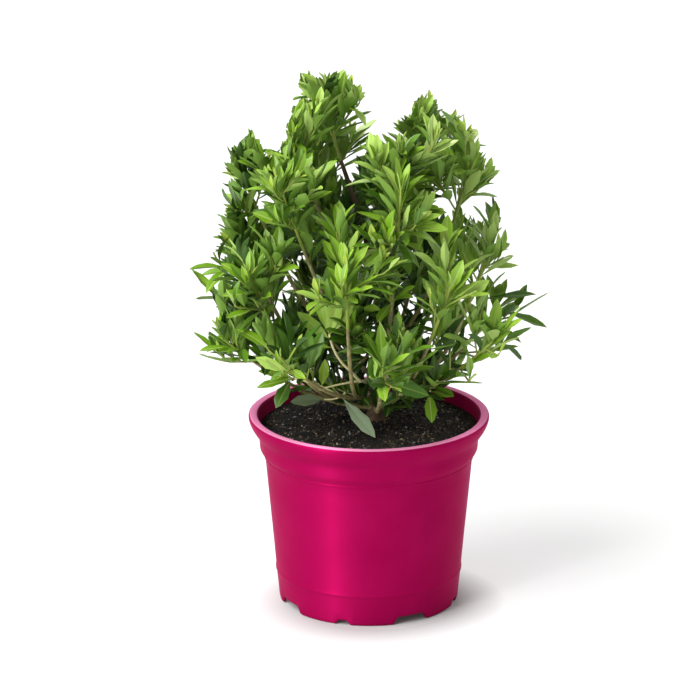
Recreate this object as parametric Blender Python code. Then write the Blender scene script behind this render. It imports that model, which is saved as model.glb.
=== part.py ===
# Young evergreen rhododendron in a three-litre nursery pot, built as pot, potting soil, trunk, boughs and
# masses of foliage. Metres, +Z up, origin at the centre of the pot's underside, front towards -Y.

import math
import random

import bmesh
import bpy
from mathutils import Vector
from mathutils.bvhtree import BVHTree

MM = 0.001
UP = Vector((0.0, 0.0, 1.0))
CLEARANCE = 0.3 * MM  # air between pieces that touch on the real plant

# Pot, a thin turned shell
POT_SIDES = 40
POT_HEIGHT = 153 * MM
RIM_RADIUS = 95 * MM
RIM_DROP = 14 * MM  # the rim rolls over and hangs this far
COLLAR_RADIUS = 86.4 * MM
COLLAR_FOOT_Z = 125 * MM
SHOULDER_Z = 117 * MM
SHOULDER_RADIUS = 81.9 * MM
HEEL_Z = 24 * MM
HEEL_RADIUS = 73.2 * MM
BASE_RADIUS = 71 * MM
WALL = 1.8 * MM
WIDE_NOTCH = (26 * MM, 6 * MM)  # width and height of the drain arches in the foot
SMALL_NOTCH = (9 * MM, 4 * MM)
NOTCHES_OF_EACH = 4
FIRST_WIDE_NOTCH = math.radians(28)  # from the front, towards the right
NOTCH_INNER_RADIUS = 61 * MM

# Soil, which fills the pot
SOIL_EDGE_Z = 143 * MM
SOIL_FOOT_Z = 146 * MM  # the level spot that the trunk stands on
SOIL_SPOT_RADIUS = 24 * MM
SOIL_SIDES = 20

# Trunk
TRUNK_FOOT = Vector((5 * MM, 10 * MM, SOIL_FOOT_Z + CLEARANCE))
TRUNK_TIP = Vector((-22 * MM, 1 * MM, 358 * MM))
TRUNK_BEND = Vector((14 * MM, 3 * MM, 0.0))  # how far the middle bows aside
TRUNK_RADII = (4.6 * MM, 1.5 * MM)
ROOT_FLARE = 3.6 * MM
FLARE_REACH = 5 * MM
TRUNK_SIDES = 7

# Boughs
BOUGH_SIDES = 5
BOUGH_RINGS = 5
BOUGH_TIP_RADIUS = 1.4 * MM

# Tiers of foliage masses: height of their middles, how far those lie inside the outline, how many, where the
# first stands, how steeply they rise, and the heights on the trunk that their boughs leave from. A tier
# with no heights grows from the boughs of the tier before it.
TIERS = {
    "low": dict(z=212 * MM, inside=29 * MM, count=8, turn=12, rise=32, leave=(154 * MM, 164 * MM), thick=1.9 * MM),
    "middle": dict(z=274 * MM, inside=25 * MM, count=8, turn=34, rise=46, leave=None, thick=1.7 * MM),
    "high": dict(z=336 * MM, inside=22 * MM, count=6, turn=20, rise=60, leave=(180 * MM, 198 * MM), thick=1.8 * MM),
    "top": dict(z=378 * MM, inside=42 * MM, count=4, turn=32, rise=74, leave=(246 * MM, 262 * MM), thick=1.5 * MM),
}
SIDE_FORK = 0.34  # how far along its bough a tier with no heights forks off
LEADER_MIDDLE_Z = 392 * MM  # middle of the mass on the trunk's own tip
MASS_BACK = 46 * MM  # from a mass's middle back to the foot of its stem

# Inner masses, which sit on the trunk itself and follow one another round it
INNER_COUNT = 4
INNER_HEIGHTS = (200 * MM, 296 * MM)
INNER_TURN = -20
INNER_STEP = 137.5
INNER_RISE = math.radians(38)

# Outline of the whole plant: at each height, how far leaves reach to the left and to the right of the pot's
# axis. To the front and back they reach the mean of the two. The crown's top falls away towards the back.
BACK_FALL = 0.3
FALL_FROM_Z = 230 * MM
OUTLINE = (
    (150 * MM, 60 * MM, 60 * MM),
    (184 * MM, 92 * MM, 90 * MM),
    (206 * MM, 134 * MM, 124 * MM),
    (228 * MM, 143 * MM, 150 * MM),
    (268 * MM, 146 * MM, 143 * MM),
    (290 * MM, 130 * MM, 128 * MM),
    (345 * MM, 119 * MM, 106 * MM),
    (386 * MM, 105 * MM, 94 * MM),
    (412 * MM, 72 * MM, 62 * MM),
    (437 * MM, 56 * MM, 26 * MM),
)

# Twigs and leaves
STEM_LENGTH = 64 * MM
STEM_RADII = (1.4 * MM, 1.3 * MM, 1.2 * MM, 1.05 * MM)
STEM_LIFT = 0.07
STEM_FREE = 2.5 * MM  # from here on an inner mass's stem is tested against every limb
TWIG_STARTS = (0.12, 0.32, 0.5, 0.68, 0.84)  # shares of the stem
TWIG_LENGTHS = (34 * MM, 20 * MM)  # first and last
TWIG_SPREAD = math.radians(44)
TWIG_RADII = (0.8 * MM, 0.95 * MM)  # at its sunk root and at its tip
TWIG_NECK = 0.25  # a twig may touch its stem only this near its root
LEAF_LENGTH = 41 * MM
LEAF_WIDTH = 14 * MM
LEAF_ROOT = 0.37 * MM  # from the middle of its sunk root to the corners, which stay inside the twig
LEAF_WIDEST = 0.58
LEAF_FOLD = 0.035  # how far its sides stand above its keel, as a share of its length
LEAF_NECK = 0.09  # a leaf may touch others only this near its root
LEAVES_AT_TIP = 4
LEAVES_ON_TWIG = 4
TIP_LEAF = 0.97  # share of the twig where its last leaf sits, and how much of it the others spread over
WHORL_DEPTH = 0.76
UPRIGHT_LEAF = math.radians(24)
SPREAD_LEAF = math.radians(62)
TRIES = 11
SHORTENING = 0.04  # each further try is this share shorter
SPACE_MARGIN = 0.4 * MM
RIM_MARGIN = 3 * MM
STILL_FLAT = math.radians(0.3)  # neighbouring faces that differ by less are one face
SEED = 40


def clear_scene():
    for old in list(bpy.data.objects):
        bpy.data.objects.remove(old)


def material(name, colour, roughness):
    made = bpy.data.materials.new(name)
    made.use_nodes = True
    shader = made.node_tree.nodes["Principled BSDF"]
    shader.inputs["Base Color"].default_value = (*colour, 1.0)
    shader.inputs["Roughness"].default_value = roughness
    shader.inputs["Metallic"].default_value = 0.0
    return made


def object_from(name, mesh, finish):
    made = bpy.data.objects.new(name, mesh)
    bpy.context.scene.collection.objects.link(made)
    if finish is not None:
        mesh.materials.append(finish)
    return made


def mesh_from(name, points, faces):
    """A closed mesh with its faces pointing out."""
    shape = bmesh.new()
    corners = [shape.verts.new(point) for point in points]
    for face in faces:
        shape.faces.new([corners[i] for i in face])
    bmesh.ops.recalc_face_normals(shape, faces=shape.faces)
    mesh = bpy.data.meshes.new(name)
    shape.to_mesh(mesh)
    shape.free()
    return mesh


def turned(name, profile, sides, finish):
    """A solid turned round Z. The profile is (radius, height) pairs from the axis at the top to the axis below."""
    shape = bmesh.new()
    points = [shape.verts.new((radius, 0.0, height)) for radius, height in profile]
    edges = [shape.edges.new(pair) for pair in zip(points, points[1:])]
    bmesh.ops.spin(shape, geom=points + edges, cent=(0, 0, 0), axis=UP, angle=math.tau, steps=sides, use_merge=True)
    bmesh.ops.remove_doubles(shape, verts=shape.verts, dist=0.001 * MM)
    bmesh.ops.recalc_face_normals(shape, faces=shape.faces)
    mesh = bpy.data.meshes.new(name)
    shape.to_mesh(mesh)
    shape.free()
    mesh.shade_smooth()
    mesh.set_sharp_from_angle(angle=math.radians(35))
    return object_from(name, mesh, finish)


def pot_profile():
    """From the middle of the floor's top side, up the inner wall, over the rim and down the outside."""
    return (
        (0.0, WALL),
        (BASE_RADIUS - WALL, WALL),
        (SHOULDER_RADIUS - WALL, SHOULDER_Z),
        (COLLAR_RADIUS - WALL, COLLAR_FOOT_Z),
        (COLLAR_RADIUS, POT_HEIGHT - 3 * MM),
        (COLLAR_RADIUS + 2 * MM, POT_HEIGHT),
        (RIM_RADIUS - 2.4 * MM, POT_HEIGHT - 0.5 * MM),
        (RIM_RADIUS, POT_HEIGHT - 3.5 * MM),
        (RIM_RADIUS - 0.8 * MM, POT_HEIGHT - 0.66 * RIM_DROP),
        (RIM_RADIUS - 3.6 * MM, POT_HEIGHT - 0.86 * RIM_DROP),
        (COLLAR_RADIUS + 1 * MM, POT_HEIGHT - RIM_DROP),
        (COLLAR_RADIUS, COLLAR_FOOT_Z),
        (SHOULDER_RADIUS, SHOULDER_Z),
        (HEEL_RADIUS + 0.7 * MM, HEEL_Z),
        (HEEL_RADIUS, HEEL_Z - 1 * MM),
        (BASE_RADIUS, 1.2 * MM),
        (BASE_RADIUS - 1.2 * MM, 0.0),
        (0.0, 0.0),
    )


def notch_points(bearing, width, height):
    """Corners of one arch-shaped cutter that stands across the pot's foot, seen from the pot's middle."""
    outward = Vector((math.sin(bearing), -math.cos(bearing), 0.0))
    across = Vector((math.cos(bearing), math.sin(bearing), 0.0))
    arch = [(-0.5, -0.5), (0.5, -0.5), (0.5, 0.35), (0.3, 0.9), (0.0, 1.0), (-0.3, 0.9), (-0.5, 0.35)]
    reach = (NOTCH_INNER_RADIUS, RIM_RADIUS)
    return [outward * out + across * (x * width) + UP * (z * height) for out in reach for x, z in arch]


def notch_cutter():
    """All the drain arches as one helper mesh."""
    points, faces = [], []
    corners = 7
    for i in range(2 * NOTCHES_OF_EACH):
        width, height = SMALL_NOTCH if i % 2 else WIDE_NOTCH
        start = len(points)
        points += notch_points(FIRST_WIDE_NOTCH + i * math.pi / NOTCHES_OF_EACH, width, height)
        inner = [start + k for k in range(corners)]
        outer = [start + corners + k for k in range(corners)]
        faces += [inner, outer]
        faces += [[inner[k - 1], inner[k], outer[k], outer[k - 1]] for k in range(corners)]
    cutter = object_from("drain_arches", mesh_from("drain_arches", points, faces), None)
    cutter.hide_render = True
    cutter.display_type = "WIRE"
    return cutter


def build_pot(finish):
    pot = turned("pot", pot_profile(), POT_SIDES, finish)
    arches = pot.modifiers.new("drain arches", "BOOLEAN")
    arches.operation = "DIFFERENCE"
    arches.object = notch_cutter()


def build_soil(finish):
    """The soil stays clear of the pot's floor and wall all round, and is a little domed."""
    gap = WALL + CLEARANCE
    edge = COLLAR_RADIUS - gap
    profile = (
        (0.0, SOIL_FOOT_Z),
        (SOIL_SPOT_RADIUS, SOIL_FOOT_Z),
        (0.72 * edge, SOIL_EDGE_Z + 1.2 * MM),
        (edge, SOIL_EDGE_Z),
        (edge, COLLAR_FOOT_Z + 0.4 * MM),
        (SHOULDER_RADIUS - gap, SHOULDER_Z + 0.4 * MM),
        (BASE_RADIUS - gap, WALL + CLEARANCE),
        (0.0, WALL + CLEARANCE),
    )
    turned("soil", profile, SOIL_SIDES, finish)


def curve_points(start, guide, end, count):
    """Points along a quadratic curve that sets off towards guide."""
    steps = [i / (count - 1) for i in range(count)]
    return [start * (1 - t) ** 2 + guide * (2 * t * (1 - t)) + end * t**2 for t in steps]


def tangents_of(points):
    ends = [points[0], *points, points[-1]]
    return [(ends[i + 2] - ends[i]).normalized() for i in range(len(points))]


class Limb:
    """One tapering limb: its centre line and the radius at each point. Its first ring may face along a seat."""

    def __init__(self, points, radii, seat=None):
        self.points = points
        self.radii = radii
        self.facings = tangents_of(points)
        self.direction = self.facings[-1]
        if seat is not None:
            self.facings[0] = seat
        self.acrosses = [self.facings[0].orthogonal().normalized()]
        for facing in self.facings[1:]:
            across = self.acrosses[-1]
            self.acrosses.append((across - facing * across.dot(facing)).normalized())

    def at(self, share):
        """Centre, direction and radius at a share of the limb's length."""
        place = share * (len(self.points) - 1)
        i = min(int(place), len(self.points) - 2)
        part = place - i
        centre = self.points[i].lerp(self.points[i + 1], part)
        direction = (self.points[i + 1] - self.points[i]).normalized()
        return centre, direction, self.radii[i] * (1 - part) + self.radii[i + 1] * part

    def branch(self, share, angle, turn):
        """Centre there, and the direction that leaves it at an angle, turned round the limb."""
        centre, along, _ = self.at(share)
        across = self.acrosses[min(int(share * (len(self.points) - 1)) + 1, len(self.points) - 1)]
        across = (across - along * across.dot(along)).normalized()
        swing = across * math.cos(turn) + along.cross(across) * math.sin(turn)
        return centre, (along * math.cos(angle) + swing * math.sin(angle)).normalized()

    def next_foot(self):
        """Where the next piece starts, just clear of this one's tip."""
        return self.points[-1] + self.direction * CLEARANCE

    def parts(self, sides, fat=0.0):
        """Corners and faces of the limb as a closed tube."""
        corners = []
        for point, radius, facing, across in zip(self.points, self.radii, self.facings, self.acrosses):
            beside = facing.cross(across)
            turns = [math.tau * k / sides for k in range(sides)]
            corners += [point + (across * math.cos(a) + beside * math.sin(a)) * (radius + fat) for a in turns]
        last = len(corners) - sides
        faces = [list(range(sides)), list(range(last, last + sides))]
        for ring in range(0, last, sides):
            for k in range(sides):
                after = (k + 1) % sides
                faces.append([ring + k, ring + after, ring + sides + after, ring + sides + k])
        return corners, faces

    def build(self, name, sides, finish):
        return object_from(name, mesh_from(name, *self.parts(sides)), finish)


def trunk_limb():
    """The trunk leans and bows a little, and flares where it meets the soil."""
    count = 15
    points, radii = [], []
    for i in range(count):
        t = (i / (count - 1)) ** 1.6
        point = TRUNK_FOOT.lerp(TRUNK_TIP, t) + TRUNK_BEND * math.sin(math.pi * t)
        points.append(point)
        flare = ROOT_FLARE * math.exp(-(point.z - TRUNK_FOOT.z) / FLARE_REACH)
        radii.append(TRUNK_RADII[0] * (1 - t) + TRUNK_RADII[1] * t + flare)
    return Limb(points, radii, seat=UP)


def trunk_share(trunk, height):
    """The share of the trunk's points that lies below a height."""
    for i, (low, high) in enumerate(zip(trunk.points, trunk.points[1:])):
        if low.z <= height <= high.z:
            return (i + (height - low.z) / (high.z - low.z)) / (len(trunk.points) - 1)
    return 1.0


def outline_at(z):
    """The middle of the outline at a height, and how far it reaches from there."""
    for (low, *near), (high, *far) in zip(OUTLINE, OUTLINE[1:]):
        if low <= z <= high:
            share = (z - low) / (high - low)
            left, right = (a + (b - a) * share for a, b in zip(near, far))
            return Vector(((right - left) / 2, 0.0, z)), (left + right) / 2
    return Vector((0.0, 0.0, z)), 0.0


def back_fall(point):
    """How much lower the crown stands there than at its front."""
    height = (point.z - FALL_FROM_Z) / (OUTLINE[-1][0] - FALL_FROM_Z)
    return BACK_FALL * max(0.0, point.y) * max(0.0, height)


def bearing_of(degrees):
    """Level direction at a bearing from the front, towards the right."""
    angle = math.radians(degrees)
    return Vector((math.sin(angle), -math.cos(angle), 0.0))


def bough_from(parent, share, foot, thick):
    """A bough that leaves parent, sets off outwards and turns up to end at foot."""
    centre, along, radius = parent.at(share)
    level = foot - centre
    guide = centre + Vector((level.x * 0.62, level.y * 0.62, level.z * 0.3))
    away = guide - centre
    seat = (away - along * away.dot(along)).normalized()
    start = centre + seat * (radius + CLEARANCE)
    points = curve_points(start, guide, foot, BOUGH_RINGS)
    steps = range(BOUGH_RINGS)
    radii = [thick + (BOUGH_TIP_RADIUS - thick) * i / (BOUGH_RINGS - 1) for i in steps]
    return Limb(points, radii, seat)


def inner_seat(trunk, tree, i):
    """Foot, direction and seat of inner mass i, turned on round the trunk until its stem meets no bough."""
    height = INNER_HEIGHTS[0] + (INNER_HEIGHTS[1] - INNER_HEIGHTS[0]) * i / (INNER_COUNT - 1)
    centre, along, radius = trunk.at(trunk_share(trunk, height))
    for attempt in range(TRIES):
        outward = bearing_of(INNER_TURN + INNER_STEP * i + 15 * attempt)
        seat = (outward - along * outward.dot(along)).normalized()
        rising = outward * math.cos(INNER_RISE) + UP * math.sin(INNER_RISE)
        foot = centre + seat * (radius + CLEARANCE)
        beyond = Limb(stem_line(foot + rising * STEM_FREE, rising), STEM_RADII)
        if not tree.overlap(BVHTree.FromPolygons(*beyond.parts(3))):
            break
    return foot, rising, seat


def plan_masses():
    """Middle, rising direction, tier and place in it for each mass, tier by tier and the leader's last."""
    plan = []
    for tier, size in TIERS.items():
        for i in range(size["count"]):
            outward = bearing_of(size["turn"] + 360 * i / size["count"])
            rise = math.radians(size["rise"])
            centre, reach = outline_at(size["z"] + (5 * MM if i % 2 else -5 * MM))
            middle = centre + outward * (reach - size["inside"])
            middle.z -= back_fall(middle)
            plan.append((f"{tier}_{i + 1}", middle, outward * math.cos(rise) + UP * math.sin(rise), tier, i))
    middle = Vector((TRUNK_TIP.x, TRUNK_TIP.y, LEADER_MIDDLE_Z))
    plan.append(("leader", middle, UP.copy(), "leader", 0))
    return plan


def grow_limbs(plan, trunk):
    """A bough for each mass but the leader's. Each tier with no heights forks off the tier before it."""
    limbs = {"trunk": trunk}
    tier_before = {"middle": "low"}
    for name, middle, rising, tier, i in plan:
        if tier == "leader":
            continue
        size = TIERS[tier]
        foot = middle - rising * MASS_BACK
        if size["leave"]:
            parent, share = trunk, trunk_share(trunk, size["leave"][i % 2])
        else:
            parent, share = limbs[f"bough_{tier_before[tier]}_{i + 1}"], SIDE_FORK
        limbs[f"bough_{name}"] = bough_from(parent, share, foot, size["thick"])
    return limbs


def limb_tree(limbs):
    """Search tree of every limb, a little fat, that leaves and twigs have to miss."""
    corners, faces = [], []
    for limb in limbs.values():
        more, sides = limb.parts(BOUGH_SIDES, fat=CLEARANCE)
        faces += [[i + len(corners) for i in face] for face in sides]
        corners += more
    return BVHTree.FromPolygons(corners, faces)


class Space:
    """The room that one mass keeps to: nearer to its own middle than to any other, inside the outline."""

    def __init__(self, middle, others, tree):
        self.walls = [((other + middle) / 2, (other - middle).normalized()) for other in others]
        self.limbs = tree
        self.filled = []

    def holds(self, point):
        centre, reach = outline_at(point.z + back_fall(point))
        if math.hypot(point.x - centre.x, point.y) > reach:
            return False
        if point.z < POT_HEIGHT + RIM_MARGIN:
            return False
        return all((point - centre).dot(normal) < -SPACE_MARGIN for centre, normal in self.walls)

    def takes(self, whole, outer):
        """Takes in a shape that lies in the room, meets no limb, and beyond its neck meets nothing at all."""
        if not all(self.holds(point) for point in whole[0]):
            return False
        if self.limbs.overlap(BVHTree.FromPolygons(*whole)):
            return False
        shape = BVHTree.FromPolygons(*outer)
        if any(other.overlap(shape) for other in self.filled):
            return False
        self.filled.append(shape)
        return True


LEAF_FACES = ((0, 1, 2), (1, 2, 4, 3), (3, 4, 5), (0, 1, 3), (0, 2, 4), (0, 3, 5), (0, 4, 5))


def leaf_corners(root, direction, facing, length):
    """A thin keeled blade: three corners at its thick root, one at each side and one at the tip."""
    side = direction.cross(facing).normalized()
    facing = side.cross(direction).normalized()
    half_width = LEAF_WIDTH / LEAF_LENGTH * length / 2
    widest = root + direction * (LEAF_WIDEST * length) + facing * (LEAF_FOLD * length)
    return [
        root - facing * LEAF_ROOT,
        root - side * (0.87 * LEAF_ROOT) + facing * (0.5 * LEAF_ROOT),
        root + side * (0.87 * LEAF_ROOT) + facing * (0.5 * LEAF_ROOT),
        widest - side * half_width,
        widest + side * half_width,
        root + direction * length,
    ]


def blade_of(corners):
    """The part of a leaf beyond its neck."""
    neck = [corners[i].lerp(corners[5], LEAF_NECK) for i in range(3)]
    return neck + corners[3:]


def through_side(k, attempt):
    """Bearing number k round a three-sided twig, through the middle of a side, and the tries after it."""
    return math.tau / 3 * (k + attempt + 0.5)


def stem_line(start, direction):
    """Points of a stem that turns up a little on its way."""
    points = [start]
    steps = len(STEM_RADII) - 1
    for _ in range(steps):
        direction = (direction + UP * STEM_LIFT).normalized()
        points.append(points[-1] + direction * (STEM_LENGTH / steps))
    return points


def leaves_on(twig, count, draw, space):
    """Leaves in a spiral round the outer part of a twig, upright at its tip and spreading below."""
    found = []
    for k in range(count):
        share = k / max(1, count - 1)
        for attempt in range(TRIES):
            tilt = UPRIGHT_LEAF + (SPREAD_LEAF - UPRIGHT_LEAF) * share + draw.uniform(-0.15, 0.25)
            bearing = through_side(k, attempt) + draw.uniform(-0.3, 0.3)
            length = LEAF_LENGTH * draw.uniform(0.86, 1.12) * (1 - SHORTENING * attempt)
            centre, direction = twig.branch(TIP_LEAF - WHORL_DEPTH * share, tilt, bearing)
            corners = leaf_corners(centre, direction, twig.direction + UP * 0.2, length)
            if space.takes((corners, LEAF_FACES), (blade_of(corners), LEAF_FACES)):
                found.append(corners)
                break
    return found


def grow_mass(foot, direction, seat, draw, space):
    """The stem of one mass, its side twigs and their leaves, as (stem, twigs, leaves)."""
    stem = Limb(stem_line(foot, direction), STEM_RADII, seat)
    space.filled.append(BVHTree.FromPolygons(*stem.parts(3)))
    twigs = []
    for i, share in enumerate(TWIG_STARTS):
        length = TWIG_LENGTHS[0] + (TWIG_LENGTHS[1] - TWIG_LENGTHS[0]) * i / (len(TWIG_STARTS) - 1)
        for attempt in range(TRIES):
            bearing = through_side(i, attempt) + draw.uniform(-0.3, 0.3)
            centre, heading = stem.branch(share, TWIG_SPREAD + draw.uniform(-0.1, 0.15), bearing)
            tip = centre + heading * length * (1 - SHORTENING * attempt)
            twig = Limb([centre, tip], TWIG_RADII)
            outer = Limb([centre.lerp(tip, TWIG_NECK), tip], TWIG_RADII)
            if space.takes(twig.parts(3), outer.parts(3)):
                twigs.append(twig)
                break
    leaves = leaves_on(stem, LEAVES_AT_TIP, draw, space)
    for twig in twigs:
        leaves += leaves_on(twig, LEAVES_ON_TWIG, draw, space)
    return stem, twigs, leaves


def clean_body(mesh):
    """Keeps the one body that holds most corners, so that loose scraps and sealed hollows go, with flat sides whole."""
    shape = bmesh.new()
    shape.from_mesh(mesh)
    left, bodies = set(shape.verts), []
    while left:
        body, edge = set(), [left.pop()]
        while edge:
            vert = edge.pop()
            body.add(vert)
            near = [link.other_vert(vert) for link in vert.link_edges]
            fresh = [other for other in near if other in left]
            left.difference_update(fresh)
            edge += fresh
        bodies.append(body)
    bodies.sort(key=len, reverse=True)
    scraps = [vert for body in bodies[1:] for vert in body]
    bmesh.ops.delete(shape, geom=scraps, context="VERTS")
    bmesh.ops.dissolve_limit(shape, angle_limit=STILL_FLAT, verts=shape.verts, edges=shape.edges)
    bmesh.ops.triangulate(shape, faces=shape.faces)
    shape.to_mesh(mesh)
    shape.free()


def fuse(name, stem, twigs, leaves, finish):
    """Joins a mass's stem, twigs and leaves into one solid."""
    joined = stem.build(name, 3, finish)
    pieces = bpy.data.collections.new(name + "_pieces")
    bpy.context.scene.collection.children.link(pieces)
    shapes = [twig.parts(3) for twig in twigs]
    shapes += [(corners, LEAF_FACES) for corners in leaves]
    for i, (corners, faces) in enumerate(shapes):
        part = bpy.data.objects.new(f"{name}_piece_{i}", mesh_from("piece", corners, faces))
        pieces.objects.link(part)
    union = joined.modifiers.new("union", "BOOLEAN")
    union.operation = "UNION"
    union.operand_type = "COLLECTION"
    union.collection = pieces
    union.solver = "EXACT"
    bpy.context.view_layer.update()
    graph = bpy.context.evaluated_depsgraph_get()
    whole = bpy.data.meshes.new_from_object(joined.evaluated_get(graph))
    joined.modifiers.clear()
    joined.data = whole
    for part in list(pieces.objects):
        bpy.data.objects.remove(part)
    bpy.data.collections.remove(pieces)
    clean_body(whole)


def build_foliage(plan, limbs, finish):
    """Each mass starts at its bough's tip, at the trunk's tip or on the trunk's side."""
    tree = limb_tree(limbs)
    starts = []
    for name, middle, _, tier, _ in plan:
        limb = limbs["trunk"] if tier == "leader" else limbs[f"bough_{name}"]
        starts.append((name, middle, limb.next_foot(), limb.direction, limb.direction))
    for i in range(INNER_COUNT):
        foot, rising, seat = inner_seat(limbs["trunk"], tree, i)
        starts.append((f"inner_{i + 1}", foot + rising * MASS_BACK, foot, rising, seat))
    middles = [middle for _, middle, *_ in starts]
    for index, (name, middle, foot, direction, seat) in enumerate(starts):
        space = Space(middle, middles[:index] + middles[index + 1 :], tree)
        draw = random.Random(SEED + index)
        stem, twigs, leaves = grow_mass(foot, direction, seat, draw, space)
        print(name, len(twigs), len(leaves))
        fuse(f"foliage_{name}", stem, twigs, leaves, finish)


def main():
    clear_scene()
    plastic = material("magenta_plastic", (0.52, 0.0, 0.11), 0.35)
    peat = material("potting_soil", (0.020, 0.015, 0.012), 0.95)
    bark = material("bark", (0.16, 0.11, 0.06), 0.8)
    shoot = material("young_wood", (0.22, 0.22, 0.07), 0.7)
    leaf = material("leaves", (0.10, 0.24, 0.02), 0.45)
    build_pot(plastic)
    build_soil(peat)
    plan = plan_masses()
    limbs = grow_limbs(plan, trunk_limb())
    for name, limb in limbs.items():
        if name == "trunk":
            limb.build(name, TRUNK_SIDES, bark)
        else:
            limb.build(name, BOUGH_SIDES, shoot)
    build_foliage(plan, limbs, leaf)


main()
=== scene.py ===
# Young rhododendron in a magenta nursery pot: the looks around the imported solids.
# Metres, +Z up, the pot's underside at zero and its front towards -Y.

import math
import random

import bpy
import numpy as np
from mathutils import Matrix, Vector
from mathutils.bvhtree import BVHTree


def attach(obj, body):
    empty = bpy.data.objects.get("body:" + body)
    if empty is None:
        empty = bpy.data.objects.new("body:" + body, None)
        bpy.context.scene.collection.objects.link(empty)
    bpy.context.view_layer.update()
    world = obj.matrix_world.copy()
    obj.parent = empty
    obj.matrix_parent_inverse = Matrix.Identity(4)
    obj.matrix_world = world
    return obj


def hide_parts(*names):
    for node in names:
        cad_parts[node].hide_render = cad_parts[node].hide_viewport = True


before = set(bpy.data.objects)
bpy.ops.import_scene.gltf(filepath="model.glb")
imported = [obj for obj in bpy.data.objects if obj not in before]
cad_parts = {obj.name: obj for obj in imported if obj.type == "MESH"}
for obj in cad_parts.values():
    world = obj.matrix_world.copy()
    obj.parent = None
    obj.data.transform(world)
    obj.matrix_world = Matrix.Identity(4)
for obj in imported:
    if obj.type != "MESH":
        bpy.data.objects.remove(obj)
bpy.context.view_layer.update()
mm = 0.001
up = Vector((0.0, 0.0, 1.0))
print("frame loaded:", len(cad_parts), "nodes")


# Small helpers that every piece uses

def clearSelection():
    if bpy.context.mode != "OBJECT":
        bpy.ops.object.mode_set(mode="OBJECT")
    bpy.ops.object.select_all(action="DESELECT")


def choose(piece):
    clearSelection()
    piece.select_set(True)
    bpy.context.view_layer.objects.active = piece


def applyModifiers(piece):
    choose(piece)
    for modifier in list(piece.modifiers):
        bpy.ops.object.modifier_apply(modifier=modifier.name)


def finishPiece(piece, name, materials, nodes=()):
    piece.name = name
    piece.data.name = name
    for material in materials:
        piece.data.materials.append(material)
    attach(piece, "root")
    if nodes:
        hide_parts(*nodes)
    print("made", name, len(piece.data.polygons), "faces")


def smoothTo(piece, degrees):
    choose(piece)
    bpy.ops.object.shade_smooth_by_angle(angle=math.radians(degrees))


def shaderOf(material):
    return material.node_tree.nodes["Principled BSDF"]


def placeIn(material):
    return material.node_tree.nodes.new("ShaderNodeTexCoord").outputs["Object"]


def plainFinish(name, colour, roughness, specular):
    made = bpy.data.materials.new(name)
    made.use_nodes = True
    shader = shaderOf(made)
    shader.inputs["Base Color"].default_value = (*colour, 1.0)
    shader.inputs["Roughness"].default_value = roughness
    shader.inputs["Specular IOR Level"].default_value = specular
    return made


def addNode(material, kind, **values):
    node = material.node_tree.nodes.new(kind)
    for name, value in values.items():
        node.inputs[name.replace("_", " ")].default_value = value
    return node


def wire(material, source, target):
    material.node_tree.links.new(source, target)


def noiseOn(material, coordinates, scale, detail=3.0, roughness=0.55):
    noise = addNode(material, "ShaderNodeTexNoise", Scale=scale, Detail=detail, Roughness=roughness)
    wire(material, coordinates, noise.inputs["Vector"])
    return noise.outputs["Fac"]


def remap(material, value, low, high, newLow=0.0, newHigh=1.0):
    node = addNode(material, "ShaderNodeMapRange", From_Min=low, From_Max=high, To_Min=newLow, To_Max=newHigh)
    wire(material, value, node.inputs["Value"])
    return node.outputs["Result"]


def blendColours(material, share, first, second):
    node = material.node_tree.nodes.new("ShaderNodeMix")
    node.data_type = "RGBA"
    wire(material, share, node.inputs["Factor"])
    for socket, colour in ((node.inputs[6], first), (node.inputs[7], second)):
        if isinstance(colour, tuple):
            socket.default_value = (*colour, 1.0)
        else:
            wire(material, colour, socket)
    return node.outputs[2]


def bumpFrom(material, height, strength, distance):
    node = addNode(material, "ShaderNodeBump", Strength=strength, Distance=distance)
    wire(material, height, node.inputs["Height"])
    wire(material, node.outputs["Normal"], shaderOf(material).inputs["Normal"])


def turnOnWheel(rings, sides):
    # A circle is pulled on from ring to ring, as on a potter's wheel. Rings are (radius, height) in millimetres.
    clearSelection()
    radius, height = rings[0]
    bpy.ops.mesh.primitive_circle_add(vertices=sides, radius=radius * mm, location=(0, 0, height * mm))
    bpy.ops.object.transform_apply(location=True, rotation=True, scale=True)
    piece = bpy.context.object
    bpy.ops.object.mode_set(mode="EDIT")
    bpy.ops.mesh.select_mode(type="EDGE")
    bpy.ops.mesh.select_all(action="SELECT")
    bpy.ops.mesh.edge_face_add()
    bpy.ops.mesh.select_mode(type="EDGE")
    for (lastRadius, lastHeight), (newRadius, newHeight) in zip(rings, rings[1:]):
        rise = (0, 0, (newHeight - lastHeight) * mm)
        bpy.ops.mesh.extrude_edges_move(TRANSFORM_OT_translate={"value": rise})
        grow = newRadius / lastRadius
        bpy.ops.transform.resize(value=(grow, grow, 1), center_override=(0, 0, newHeight * mm))
    bpy.ops.mesh.edge_face_add()
    bpy.ops.mesh.select_all(action="SELECT")
    bpy.ops.mesh.normals_make_consistent(inside=False)
    bpy.ops.object.mode_set(mode="OBJECT")
    return piece


def addRelief(piece, name, layers, middle, depth=2, direction="NORMAL", group=""):
    # Each layer has the size of its texture in metres and its height in millimetres
    for i, (size, height) in enumerate(layers):
        clouds = bpy.data.textures.new(f"{name}{i}", "CLOUDS")
        clouds.noise_scale = size
        clouds.noise_depth = depth
        push = piece.modifiers.new(f"{name}{i}", "DISPLACE")
        push.texture = clouds
        push.texture_coords = "LOCAL"
        push.direction = direction
        push.mid_level = middle
        push.strength = height * mm
        push.vertex_group = group
    applyModifiers(piece)


# Camera, floor and lights

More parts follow.
